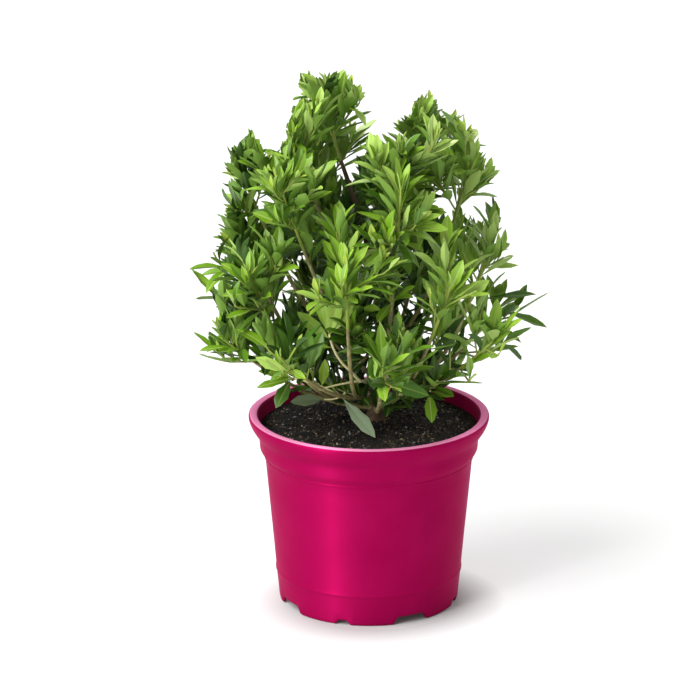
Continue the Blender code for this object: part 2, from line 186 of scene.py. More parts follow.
studio = dict(
    aim=(-0.0149, 0.0, 0.2047),
    elevation=17.4,
    distance=3.0,
    lens=196.5,
    sensor=36,
    farthest=50,
    floorSize=16.0,
    floorLevel=-0.1 * mm,
    floorColour=(0.45, 0.45, 0.45),
    floorLook=(0.9, 0.1),         # roughness and gloss
    paintedFloorGlow=(0.02, 0.56),      # painted light: the floor glows though it is no lamp, and hardly at all round the pot, as a painted contact shadow
    floorFade=(0.064, 0.104),     # the glow rises between these distances from the middle of the painted shadow
    floorShade=(0.006, -0.016, 0.0),
    skyStrength=0.44,
    sunsAway=3,
    key=dict(bearing=-56, height=48, spread=44, strength=3.7),   # degrees from the front towards the right
    side=dict(bearing=125, height=38, spread=40, strength=0.7),
    softbox=dict(bearing=-41, distance=1.8, width=0.20, height=1.2, power=16),
)


def setCamera():
    angle = math.radians(studio["elevation"])
    aim = Vector(studio["aim"])
    away = Vector((0.0, -math.cos(angle), math.sin(angle))) * studio["distance"]
    clearSelection()
    bpy.ops.object.camera_add(location=aim + away, rotation=(math.radians(90) - angle, 0, 0))
    camera = bpy.context.object
    camera.data.lens = studio["lens"]
    camera.data.sensor_width = studio["sensor"]
    camera.data.clip_end = studio["farthest"]
    bpy.context.scene.camera = camera


def addSoftLight(name, bearing, height, spread, strength):
    clearSelection()
    level = math.cos(math.radians(height))
    angle = math.radians(bearing)
    place = Vector((level * math.sin(angle), -level * math.cos(angle), math.sin(math.radians(height))))
    place *= studio["sunsAway"]
    bpy.ops.object.light_add(type="SUN", location=place, rotation=(-place).to_track_quat("-Z", "Y").to_euler())
    light = bpy.context.object
    light.name = name
    light.data.angle = math.radians(spread)
    light.data.energy = strength


def addSoftbox(bearing, distance, width, height, power):
    # A tall narrow box that stands on the floor and draws the bright band down the pot
    clearSelection()
    angle = math.radians(bearing)
    place = Vector((math.sin(angle) * distance, -math.cos(angle) * distance, height / 2))
    bpy.ops.object.light_add(type="AREA", location=place, rotation=(math.radians(90), 0, angle))
    light = bpy.context.object
    light.name = "softbox"
    light.data.shape = "RECTANGLE"
    light.data.size = width
    light.data.size_y = height
    light.data.energy = power


def setSky():
    sky = bpy.data.worlds.new("studioSky")
    sky.use_nodes = True
    background = sky.node_tree.nodes["Background"]
    background.inputs["Color"].default_value = (1, 1, 1, 1)
    background.inputs["Strength"].default_value = studio["skyStrength"]
    bpy.context.scene.world = sky
    bpy.context.scene.view_settings.view_transform = "Standard"


def layFloor():
    clearSelection()
    bpy.ops.mesh.primitive_plane_add(size=studio["floorSize"], location=(0, 0, studio["floorLevel"]))
    bpy.ops.object.transform_apply(location=True, rotation=True, scale=True)
    floor = bpy.context.object
    floor.name = "floor"
    # The floor's emission is painted light, dimmed round the pot's foot to paint its contact shadow
    paper = plainFinish("paperFloor", studio["floorColour"], *studio["floorLook"])
    shader = shaderOf(paper)
    shader.inputs["Emission Color"].default_value = (1, 1, 1, 1)
    away = addNode(paper, "ShaderNodeVectorMath")
    away.operation = "DISTANCE"
    away.inputs[1].default_value = studio["floorShade"]
    wire(paper, placeIn(paper), away.inputs[0])
    glow = remap(paper, away.outputs["Value"], *studio["floorFade"], *studio["paintedFloorGlow"])
    wire(paper, glow, shader.inputs["Emission Strength"])
    floor.data.materials.append(paper)


def setStudio():
    setCamera()
    for name in ("key", "side"):
        addSoftLight(name + "Light", **studio[name])
    addSoftbox(**studio["softbox"])
    setSky()
    layFloor()
    print("studio set")


# Pot

pot = dict(
    sides=180,
    inside=((64, 9.2), (69.3, 9.2), (70.0, 10.2), (80.1, 117), (84.5, 124.8), (84.8, 126.2), (87.0, 146)),
    lip=((87.3, 149.8), (87.5, 151.4), (87.9, 152.3), (88.7, 152.8), (90.0, 153.0), (92.6, 153.0), (93.9, 152.8),
         (94.7, 152.2), (95.0, 151.2), (94.9, 149.8), (94.3, 147.6), (93.3, 145.2), (92.1, 142.9), (90.8, 140.8),
         (89.5, 139.0), (88.4, 137.6)),
    collar=((87.5, 136.2), (86.9, 134.6), (86.5, 131), (86.1, 126.0), (85.5, 124.6), (84.5, 122.9), (83.3, 121.2)),
    bead=((82.7, 120.2), (82.6, 119.7), (82.8, 119.3), (82.8, 118.8), (82.4, 118.3), (81.9, 117.4)),
    body=((81.1, 108.5), (79.3, 89), (76.4, 58), (73.8, 29)),
    ring=((74.15, 26.2), (74.2, 25.8), (74.15, 25.2), (73.8, 24.6), (73.4, 23.0)),
    foot=((72.2, 12.5), (71.3, 2.6), (70.9, 1.0), (70.2, 0.2), (69.3, 0.0), (68.6, 0.2), (68.2, 1.0), (67.6, 6.2),
          (66.4, 7.0), (62.2, 7.0)),
    footRadius=70.2,
    notches=8,
    firstNotch=28.0,
    notchStep=45.0,
    wideNotch=(11.0, 6.0, 4.5),   # half the width, height and how long its ends slope
    smallNotch=(3.2, 3.6, 2.6),
    notchFade=13.0,               # height at which the foot is straight again
    innerEdge=(66.7, 68.2),       # the notches fade in between these radii
    smooth=50,
)
potFinish = dict(
    colour=(0.330, 0.003, 0.066),
    deep=(0.305, 0.002, 0.058),
    sheen=(1.0, 0.10, 0.55),      # the plastic's gloss has its own hue
    metallic=0.42,                # fine flakes in the plastic
    gloss=0.05,
    upright=0.85,                 # the gloss is drawn out upwards
    glossTurn=0.25,
    # The lip's top is painted paler pink: a painted highlight where light falls on it from above
    lipHighlightColour=(1.0, 0.34, 0.60),
    lipHighlightHeights=(0.1525, 0.1528),
    roughness=(0.46, 0.52),
    roughRange=(0.3, 0.7),
    clouds=(26.0, 4.0),           # scale and detail
    cloudRange=(0.35, 0.7),
    grain=(1500.0, 2.0),
    grainRise=(0.25, 0.00012),    # strength and height
)


def smoothStep(value):
    value = min(1.0, max(0.0, value))
    return value * value * (3 - 2 * value)


def notchRise(x, y):
    # How far the foot's edge is lifted there, in millimetres
    bearing = math.degrees(math.atan2(x, -y))
    rise = 0.0
    for i in range(pot["notches"]):
        half, height, slope = pot["smallNotch"] if i % 2 else pot["wideNotch"]
        offset = (bearing - pot["firstNotch"] - i * pot["notchStep"] + 180) % 360 - 180
        arc = abs(math.radians(offset)) * pot["footRadius"]
        rise = max(rise, height * smoothStep((half + slope - arc) / slope))
    return rise


def cutNotches(piece):
    inner, outer = pot["innerEdge"]
    for vertex in piece.data.vertices:
        x, y, z = (value / mm for value in vertex.co)
        if z < pot["notchFade"]:
            share = smoothStep((math.hypot(x, y) - inner) / (outer - inner))
            vertex.co.z += notchRise(x, y) * (1 - z / pot["notchFade"]) * share * mm


def potPlastic():
    made = plainFinish("magentaPlastic", potFinish["colour"], potFinish["roughness"][0], potFinish["gloss"])
    shader = shaderOf(made)
    shader.inputs["Metallic"].default_value = potFinish["metallic"]
    shader.inputs["Anisotropic"].default_value = potFinish["upright"]
    shader.inputs["Anisotropic Rotation"].default_value = potFinish["glossTurn"]
    shader.inputs["Specular Tint"].default_value = (*potFinish["sheen"], 1.0)
    around = addNode(made, "ShaderNodeTangent")
    around.direction_type = "RADIAL"
    around.axis = "Z"
    wire(made, around.outputs["Tangent"], shader.inputs["Tangent"])
    place = placeIn(made)
    clouds = noiseOn(made, place, *potFinish["clouds"])
    patches = remap(made, clouds, *potFinish["cloudRange"])
    body = blendColours(made, patches, potFinish["colour"], potFinish["deep"])
    axes = addNode(made, "ShaderNodeSeparateXYZ")
    wire(made, place, axes.inputs["Vector"])
    # Painted highlight: the lip's top blends to the paler pink
    litLipTop = remap(made, axes.outputs["Z"], *potFinish["lipHighlightHeights"])
    wire(made, blendColours(made, litLipTop, body, potFinish["lipHighlightColour"]), shader.inputs["Base Color"])
    rough = remap(made, clouds, *potFinish["roughRange"], *potFinish["roughness"])
    wire(made, rough, shader.inputs["Roughness"])
    bumpFrom(made, noiseOn(made, place, *potFinish["grain"]), *potFinish["grainRise"])
    return made


def makePot():
    rings = [ring for part in ("inside", "lip", "collar", "bead", "body", "ring", "foot") for ring in pot[part]]
    piece = turnOnWheel(rings, pot["sides"])
    cutNotches(piece)
    smoothTo(piece, pot["smooth"])
    finishPiece(piece, "nurseryPot", [potPlastic()], ["pot"])


# Potting soil

soil = dict(
    sides=168,
    topRings=62,
    innermost=0.4,                # radius of the first ring
    edgeRadius=85.2,
    edgeHeight=142.4,
    spotHeight=145.6,
    spotRadius=24.0,
    below=((84.6, 126), (79.9, 118), (69.6, 12.0), (68.0, 10.4)),
    lumps=((0.018, 3.2), (0.006, 2.4), (0.0024, 1.6)),  # size of the texture, height in millimetres
    lumpMiddle=0.55,
    lumpDepth=3,
    lumpsAbove=0.14,              # metres, and within this radius
    lumpsWithin=0.0842,
    smooth=60,
    crumbs=5600,
    crumbSizes=(0.35, 1.4),
    crumbPower=3,                 # most crumbs are small
    crumbShape=((0.6, 1.0), (0.45, 0.8)),  # width and thickness as shares of the length
    chips=420,
    chipSizes=(2.0, 7.0),
    chipShape=((0.25, 0.7), (0.2, 0.45)),  # half the width and half the thickness
    chipTilt=0.18,
    bareEdge=3,
    dropFrom=0.2,
    restHeight=0.143,
    proud=0.35,                   # how high a crumb's middle lies, as a share of its size
    uneven=(0.75, 1.25),
    seed=7,
)
soilFinish = dict(
    dark=(0.0062, 0.0062, 0.0066),
    brown=(0.026, 0.020, 0.014),
    tan=(0.20, 0.16, 0.11),
    look=(0.95, 0.25),            # roughness and gloss
    patches=(60.0, 6.0, 0.7),     # scale, detail and roughness
    patchRange=(0.42, 0.66),
    specks=(520.0, 3.0, 0.6),
    speckRange=(0.66, 0.72),
    grain=(700.0, 5.0, 0.7),
    grainRise=(0.9, 0.0008),      # strength and height
    crumbLook=(0.9, 0.3),
    crumbColours=((0.0075, 0.0078, 0.0082), (0.028, 0.022, 0.015), (0.105, 0.078, 0.045), (0.30, 0.235, 0.15),
                  (0.20, 0.215, 0.23)),
    paintedLitFrom=0.012,                # to the right of this some crumbs are a step paler: painted light on the more lit side of the soil
    paintedLitShare=0.42,
    darkKinds=2,                  # only these turn a step paler there
    crumbShares=(0.47, 0.31, 0.145, 0.04, 0.035),
)


def soilHeight(radius):
    # Level round the trunk's foot, then a slow fall to the wall, in millimetres
    share = max(0.0, radius - soil["spotRadius"]) / (soil["edgeRadius"] - soil["spotRadius"])
    return soil["spotHeight"] + (soil["edgeHeight"] - soil["spotHeight"]) * share


def peatFinish():
    made = plainFinish("pottingSoil", soilFinish["dark"], *soilFinish["look"])
    place = placeIn(made)
    patches = remap(made, noiseOn(made, place, *soilFinish["patches"]), *soilFinish["patchRange"])
    body = blendColours(made, patches, soilFinish["dark"], soilFinish["brown"])
    specks = remap(made, noiseOn(made, place, *soilFinish["specks"]), *soilFinish["speckRange"])
    wire(made, blendColours(made, specks, body, soilFinish["tan"]), shaderOf(made).inputs["Base Color"])
    bumpFrom(made, noiseOn(made, place, *soilFinish["grain"]), *soilFinish["grainRise"])
    return made


def makeSoil():
    count, first = soil["topRings"], soil["innermost"]
    radii = [first + (soil["edgeRadius"] - first) * i / (count - 1) for i in range(count)]
    rings = [(radius, soilHeight(radius)) for radius in radii] + list(soil["below"])
    piece = turnOnWheel(rings, soil["sides"])
    top = piece.vertex_groups.new(name="top")
    high = [v for v in piece.data.vertices if v.co.z > soil["lumpsAbove"]]
    top.add([v.index for v in high if math.hypot(v.co.x, v.co.y) < soil["lumpsWithin"]], 1.0, "REPLACE")
    addRelief(piece, "clumps", soil["lumps"], soil["lumpMiddle"], soil["lumpDepth"], "Z", "top")
    smoothTo(piece, soil["smooth"])
    finishPiece(piece, "pottingSoil", [peatFinish()], ["soil"])
    return piece


def lumpTemplate():
    clearSelection()
    bpy.ops.mesh.primitive_ico_sphere_add(subdivisions=1, radius=1.0)
    lump = bpy.context.object
    points = np.array([vertex.co[:] for vertex in lump.data.vertices])
    faces = np.array([face.vertices[:] for face in lump.data.polygons])
    bpy.data.objects.remove(lump)
    return points, faces


def turnsFrom(draw, count):
    # Random turns, one matrix each
    spin = draw.normal(size=(count, 4))
    w, x, y, z = (spin / np.linalg.norm(spin, axis=1, keepdims=True)).T
    rows = [
        [1 - 2 * (y * y + z * z), 2 * (x * y - z * w), 2 * (x * z + y * w)],
        [2 * (x * y + z * w), 1 - 2 * (x * x + z * z), 2 * (y * z - x * w)],
        [2 * (x * z - y * w), 2 * (y * z + x * w), 1 - 2 * (x * x + y * y)],
    ]
    return np.array(rows).transpose(2, 0, 1)


def meshFromArrays(name, points, faces, tints):
    # One mesh of many copies: points are (copies, corners, 3), faces index one copy's corners
    copies, corners = points.shape[:2]
    mesh = bpy.data.meshes.new(name)
    allPoints = points.reshape(-1, 3)
    sizes = np.array([len(face) for face in faces] * copies)
    one = np.concatenate([np.array(face) for face in faces])
    loops = (one[None, :] + (np.arange(copies) * corners)[:, None]).reshape(-1)
    mesh.vertices.add(len(allPoints))
    mesh.vertices.foreach_set("co", allPoints.astype(np.float32).reshape(-1))
    mesh.loops.add(len(loops))
    mesh.loops.foreach_set("vertex_index", loops.astype(np.int32))
    mesh.polygons.add(len(sizes))
    mesh.polygons.foreach_set("loop_start", (np.cumsum(sizes) - sizes).astype(np.int32))
    mesh.polygons.foreach_set("material_index", tints.reshape(-1).astype(np.int32))
    mesh.update(calc_edges=True)
    mesh.validate()
    piece = bpy.data.objects.new(name, mesh)
    bpy.context.scene.collection.objects.link(piece)
    return piece


def makeCrumbs(ground):
    # Loose crumbs and bark chips that lie on the soil, a little sunk
    tree = BVHTree.FromObject(ground, bpy.context.evaluated_depsgraph_get())
    draw = np.random.default_rng(soil["seed"])
    lump, faces = lumpTemplate()
    count = soil["crumbs"] + soil["chips"]
    small, large = soil["crumbSizes"]
    sizes = small + (large - small) * draw.random(count) ** soil["crumbPower"]
    shapes = np.stack([sizes, *(sizes * draw.uniform(*span, count) for span in soil["crumbShape"])], axis=1)
    long = draw.uniform(*soil["chipSizes"], soil["chips"]) / 2
    chips = np.stack([long, *(draw.uniform(*span, len(long)) for span in soil["chipShape"])], axis=1)
    shapes[soil["crumbs"]:] = chips
    radius = np.sqrt(draw.random(count)) * (soil["edgeRadius"] - soil["bareEdge"])
    angle = draw.uniform(0, math.tau, count)
    places = []
    for r, a, size in zip(radius, angle, shapes[:, 2]):
        x, y = r * math.cos(a) * mm, r * math.sin(a) * mm
        hit = tree.ray_cast(Vector((x, y, soil["dropFrom"])), -up)[0]
        places.append((x, y, (hit.z if hit else soil["restHeight"]) + soil["proud"] * size * mm))
    points = lump[None] * draw.uniform(*soil["uneven"], (count, len(lump), 1)) * shapes[:, None, :] * mm
    turns = turnsFrom(draw, count)
    flat = np.zeros((len(long), 3, 3))
    yaw = draw.uniform(0, math.tau, len(long))
    tip = draw.normal(0, soil["chipTilt"], len(long))
    flat[:, 0, 0], flat[:, 0, 1] = np.cos(yaw), -np.sin(yaw)
    flat[:, 1, 0], flat[:, 1, 1] = np.sin(yaw), np.cos(yaw)
    flat[:, 2, 0], flat[:, 2, 2] = np.sin(tip), 1.0
    turns[soil["crumbs"]:] = flat
    points = np.einsum("nij,nkj->nki", turns, points) + np.array(places)[:, None, :]
    kinds = draw.choice(len(soilFinish["crumbColours"]), count, p=soilFinish["crumbShares"])
    # Paler crumbs on the right are painted light, where the soil is lit more
    litRight = (np.array(places)[:, 0] > soilFinish["paintedLitFrom"]) & (draw.random(count) < soilFinish["paintedLitShare"])
    kinds[litRight & (kinds < soilFinish["darkKinds"])] += 1
    piece = meshFromArrays("crumbs", points, faces, np.repeat(kinds[:, None], len(faces), axis=1))
    colours, look = soilFinish["crumbColours"], soilFinish["crumbLook"]
    finishes = [plainFinish(f"crumb{i}", colour, *look) for i, colour in enumerate(colours)]
    finishPiece(piece, "soilCrumbs", finishes)


# The shrub's frame, by the rule that its solids were grown by

shrub = dict(
    clearance=0.3 * mm,
    trunkFoot=Vector((5 * mm, 10 * mm, 146.3 * mm)),
    trunkTip=Vector((-22 * mm, 1 * mm, 358 * mm)),
    trunkBend=Vector((14 * mm, 3 * mm, 0.0)),
    trunkRadii=(4.6 * mm, 1.5 * mm),
    flare=(3.6 * mm, 5 * mm),
    trunkRings=15,
    trunkCrowding=1.6,     # its rings lie closer together near the foot
    boughRings=5,
    boughSides=5,
    boughTip=1.4 * mm,
    boughGuide=(0.62, 0.62, 0.3),
    tiers=dict(
        low=dict(z=212 * mm, inside=29 * mm, count=8, turn=12, rise=32, leave=(154 * mm, 164 * mm), thick=1.9 * mm),
        middle=dict(z=274 * mm, inside=25 * mm, count=8, turn=34, rise=46, leave=None, thick=1.7 * mm),
        high=dict(z=336 * mm, inside=22 * mm, count=6, turn=20, rise=60, leave=(180 * mm, 198 * mm), thick=1.8 * mm),
        top=dict(z=378 * mm, inside=42 * mm, count=4, turn=32, rise=74, leave=(246 * mm, 262 * mm), thick=1.5 * mm),
    ),
    stagger=5 * mm,
    sideFork=0.34,
    leaderMiddle=392 * mm,
    massBack=46 * mm,
    innerCount=4,
    innerHeights=(200 * mm, 296 * mm),
    innerTurn=-20,
    innerStep=137.5,
    innerNudge=15,
    innerRise=math.radians(38),
    backFall=0.3,
    fallFrom=230 * mm,
    outline=(
        (150, 60, 60), (184, 92, 90), (206, 134, 124), (228, 143, 150), (268, 146, 143),
        (290, 130, 128), (345, 119, 106), (386, 105, 94), (412, 72, 62), (437, 56, 26),
    ),
    stemLength=64 * mm,
    stemRadii=(1.4 * mm, 1.3 * mm, 1.2 * mm, 1.05 * mm),
    stemLift=0.07,
    stemFree=2.5 * mm,
    twigStarts=(0.12, 0.32, 0.5, 0.68, 0.84),
    twigLengths=(34 * mm, 20 * mm),
    twigSpread=math.radians(44),
    twigTurns=(-0.3, 0.3),
    twigLeans=(-0.1, 0.15),
    twigRadii=(0.8 * mm, 0.95 * mm),
    twigNeck=0.25,
    tries=11,
    shortening=0.04,
    margin=0.4 * mm,
    rimTop=156 * mm,
    seed=40,
)


def curvePoints(start, guide, end, count):
    steps = [i / (count - 1) for i in range(count)]
    return [start * (1 - t) ** 2 + guide * (2 * t * (1 - t)) + end * t**2 for t in steps]


def tangentsOf(points):
    ends = [points[0], *points, points[-1]]
    return [(ends[i + 2] - ends[i]).normalized() for i in range(len(points))]


class Limb:
    # A tapering limb: its centre line and the radius at each point

    def __init__(self, points, radii, seat=None):
        self.points = points
        self.radii = radii
        self.facings = tangentsOf(points)
        self.direction = self.facings[-1]
        if seat is not None:
            self.facings[0] = seat
        self.acrosses = [self.facings[0].orthogonal().normalized()]
        for facing in self.facings[1:]:
            across = self.acrosses[-1]
            self.acrosses.append((across - facing * across.dot(facing)).normalized())

    def at(self, share):
        place = share * (len(self.points) - 1)
        i = min(int(place), len(self.points) - 2)
        part = place - i
        centre = self.points[i].lerp(self.points[i + 1], part)
        direction = (self.points[i + 1] - self.points[i]).normalized()
        return centre, direction, self.radii[i] * (1 - part) + self.radii[i + 1] * part

    def branch(self, share, angle, turn):
        centre, along, _ = self.at(share)
        across = self.acrosses[min(int(share * (len(self.points) - 1)) + 1, len(self.points) - 1)]
        across = (across - along * across.dot(along)).normalized()
        swing = across * math.cos(turn) + along.cross(across) * math.sin(turn)
        return centre, (along * math.cos(angle) + swing * math.sin(angle)).normalized()

    def nextFoot(self):
        return self.points[-1] + self.direction * shrub["clearance"]

    def parts(self, sides=3, fat=0.0):
        # Corners and faces of a closed tube, with three sides where it only finds room
        corners = []
        for point, radius, facing, across in zip(self.points, self.radii, self.facings, self.acrosses):
            beside = facing.cross(across)
            turns = [math.tau * k / sides for k in range(sides)]
            corners += [point + (across * math.cos(a) + beside * math.sin(a)) * (radius + fat) for a in turns]
        last = len(corners) - sides
        faces = [list(range(sides)), list(range(last, last + sides))]
        for ring in range(0, last, sides):
            for k in range(sides):
                after = (k + 1) % sides
                faces.append([ring + k, ring + after, ring + sides + after, ring + sides + k])
        return corners, faces


def trunkLimb():
    points, radii = [], []
    for i in range(shrub["trunkRings"]):
        t = (i / (shrub["trunkRings"] - 1)) ** shrub["trunkCrowding"]
        point = shrub["trunkFoot"].lerp(shrub["trunkTip"], t) + shrub["trunkBend"] * math.sin(math.pi * t)
        points.append(point)
        flare = shrub["flare"][0] * math.exp(-(point.z - shrub["trunkFoot"].z) / shrub["flare"][1])
        radii.append(shrub["trunkRadii"][0] * (1 - t) + shrub["trunkRadii"][1] * t + flare)
    return Limb(points, radii, seat=up)


def trunkShare(trunk, height):
    for i, (low, high) in enumerate(zip(trunk.points, trunk.points[1:])):
        if low.z <= height <= high.z:
            return (i + (height - low.z) / (high.z - low.z)) / (len(trunk.points) - 1)
    return 1.0


def outlineAt(z, outline):
    for (low, *near), (high, *far) in zip(outline, outline[1:]):
        if low * mm <= z <= high * mm:
            share = (z - low * mm) / ((high - low) * mm)
            left, right = ((a + (b - a) * share) * mm for a, b in zip(near, far))
            return Vector(((right - left) / 2, 0.0, z)), (left + right) / 2
    return Vector((0.0, 0.0, z)), 0.0


def backFall(point):
    height = (point.z - shrub["fallFrom"]) / (shrub["outline"][-1][0] * mm - shrub["fallFrom"])
    return shrub["backFall"] * max(0.0, point.y) * max(0.0, height)


def bearingOf(degrees):
    angle = math.radians(degrees)
    return Vector((math.sin(angle), -math.cos(angle), 0.0))


def boughFrom(parent, fork, foot, thick):
    centre, along, radius = parent.at(fork)
    level = foot - centre
    guide = centre + Vector([way * share for way, share in zip(level, shrub["boughGuide"])])
    away = guide - centre
    seat = (away - along * away.dot(along)).normalized()
    start = centre + seat * (radius + shrub["clearance"])
    rings = shrub["boughRings"]
    points = curvePoints(start, guide, foot, rings)
    radii = [thick + (shrub["boughTip"] - thick) * i / (rings - 1) for i in range(rings)]
    return Limb(points, radii, seat)


def stemLine(start, direction):
    points = [start]
    steps = len(shrub["stemRadii"]) - 1
    for _ in range(steps):
        direction = (direction + up * shrub["stemLift"]).normalized()
        points.append(points[-1] + direction * (shrub["stemLength"] / steps))
    return points


def innerSeat(trunk, tree, i):
    low, high = shrub["innerHeights"]
    height = low + (high - low) * i / (shrub["innerCount"] - 1)
    centre, along, radius = trunk.at(trunkShare(trunk, height))
    for attempt in range(shrub["tries"]):
        outward = bearingOf(shrub["innerTurn"] + shrub["innerStep"] * i + shrub["innerNudge"] * attempt)
        seat = (outward - along * outward.dot(along)).normalized()
        rising = outward * math.cos(shrub["innerRise"]) + up * math.sin(shrub["innerRise"])
        foot = centre + seat * (radius + shrub["clearance"])
        beyond = Limb(stemLine(foot + rising * shrub["stemFree"], rising), shrub["stemRadii"])
        if not tree.overlap(BVHTree.FromPolygons(*beyond.parts())):
            break
    return foot, rising, seat


def planMasses():
    plan = []
    for tier, size in shrub["tiers"].items():
        for i in range(size["count"]):
            outward = bearingOf(size["turn"] + 360 * i / size["count"])
            rise = math.radians(size["rise"])
            shift = shrub["stagger"] if i % 2 else -shrub["stagger"]
            centre, reach = outlineAt(size["z"] + shift, shrub["outline"])
            middle = centre + outward * (reach - size["inside"])
            middle.z -= backFall(middle)
            plan.append((f"{tier}_{i + 1}", middle, outward * math.cos(rise) + up * math.sin(rise), tier, i))
    middle = Vector((shrub["trunkTip"].x, shrub["trunkTip"].y, shrub["leaderMiddle"]))
    plan.append(("leader", middle, up.copy(), "leader", 0))
    return plan


def growLimbs(plan, trunk):
    limbs = {"trunk": trunk}
    for name, middle, rising, tier, i in plan:
        if tier == "leader":
            continue
        size = shrub["tiers"][tier]
        foot = middle - rising * shrub["massBack"]
        if size["leave"]:
            parent, share = trunk, trunkShare(trunk, size["leave"][i % 2])
        else:
            parent, share = limbs[f"bough_low_{i + 1}"], shrub["sideFork"]
        limbs[f"bough_{name}"] = boughFrom(parent, share, foot, size["thick"])
    return limbs


def limbTree(limbs):
    corners, faces = [], []
    for limb in limbs.values():
        more, sides = limb.parts(shrub["boughSides"], fat=shrub["clearance"])
        faces += [[i + len(corners) for i in face] for face in sides]
        corners += more
    return BVHTree.FromPolygons(corners, faces)


class Space:
    # The room that one mass keeps to, inside the outline and nearer to its own middle than to any other

    def __init__(self, middle, others, tree):
        self.walls = [((other + middle) / 2, (other - middle).normalized()) for other in others]
        self.limbs = tree
        self.filled = []

    def holds(self, point):
        centre, reach = outlineAt(point.z + backFall(point), shrub["outline"])
        if math.hypot(point.x - centre.x, point.y) > reach:
            return False
        if point.z < shrub["rimTop"]:
            return False
        return all((point - centre).dot(normal) < -shrub["margin"] for centre, normal in self.walls)

    def takes(self, whole, outer):
        if not all(self.holds(point) for point in whole[0]):
            return False
        if self.limbs.overlap(BVHTree.FromPolygons(*whole)):
            return False
        shape = BVHTree.FromPolygons(*outer)
        if any(other.overlap(shape) for other in self.filled):
            return False
        self.filled.append(shape)
        return True


def throughSide(k, attempt):
    return math.tau / 3 * (k + attempt + 0.5)


def sideTwigs(stem, draw, space):
    twigs = []
    first, last = shrub["twigLengths"]
    for i, share in enumerate(shrub["twigStarts"]):
        length = first + (last - first) * i / (len(shrub["twigStarts"]) - 1)
        for attempt in range(shrub["tries"]):
            bearing = throughSide(i, attempt) + draw.uniform(*shrub["twigTurns"])
            centre, heading = stem.branch(share, shrub["twigSpread"] + draw.uniform(*shrub["twigLeans"]), bearing)
            tip = centre + heading * length * (1 - shrub["shortening"] * attempt)
            twig = Limb([centre, tip], shrub["twigRadii"])
            outer = Limb([centre.lerp(tip, shrub["twigNeck"]), tip], shrub["twigRadii"])
            if space.takes(twig.parts(), outer.parts()):
                twigs.append(twig)
                break
    return twigs


# Finer twigs and life-size leaves, which grow on from the same stems and twigs

leafShape = dict(
    length=35 * mm,
    sizes=(0.78, 1.14),
    width=(0.24, 0.32),        # share of the length
    stations=(0.0, 0.09, 0.2, 0.34, 0.48, 0.62, 0.76, 0.89, 1.0),
    widths=(0.05, 0.07, 0.37, 0.73, 0.95, 1.0, 0.83, 0.47, 0.0),
    teeth=0.075,               # the edge swings in and out by this share
    rib=(0.80 * mm, 0.30 * mm),  # half width of the midrib at the foot and near the tip
    groove=0.10 * mm,
    ribMost=0.45,              # share of the half blade
    grooveGrows=3,             # groove and waves grow with the blade's width, at these rates
    waveGrows=1.4,
    thick=0.55 * mm,
    footThick=0.3 * mm,
    halfway=0.55,              # where each half of the blade has its middle edge
    puff=0.07,                 # how far each half of the blade stands up
    fold=(0.10, 0.50),
    bend=(-0.30, 0.60),
    twist=0.55,
    wave=0.07,
    waves=9.0,
    calm=0.4,                  # share of the wave that is left at the middle edge
    leastBend=1e-3,
    waist=0.6,                 # where the stand-in that finds room is widest
    standIn=0.35 * mm,
    smooth=55,
)
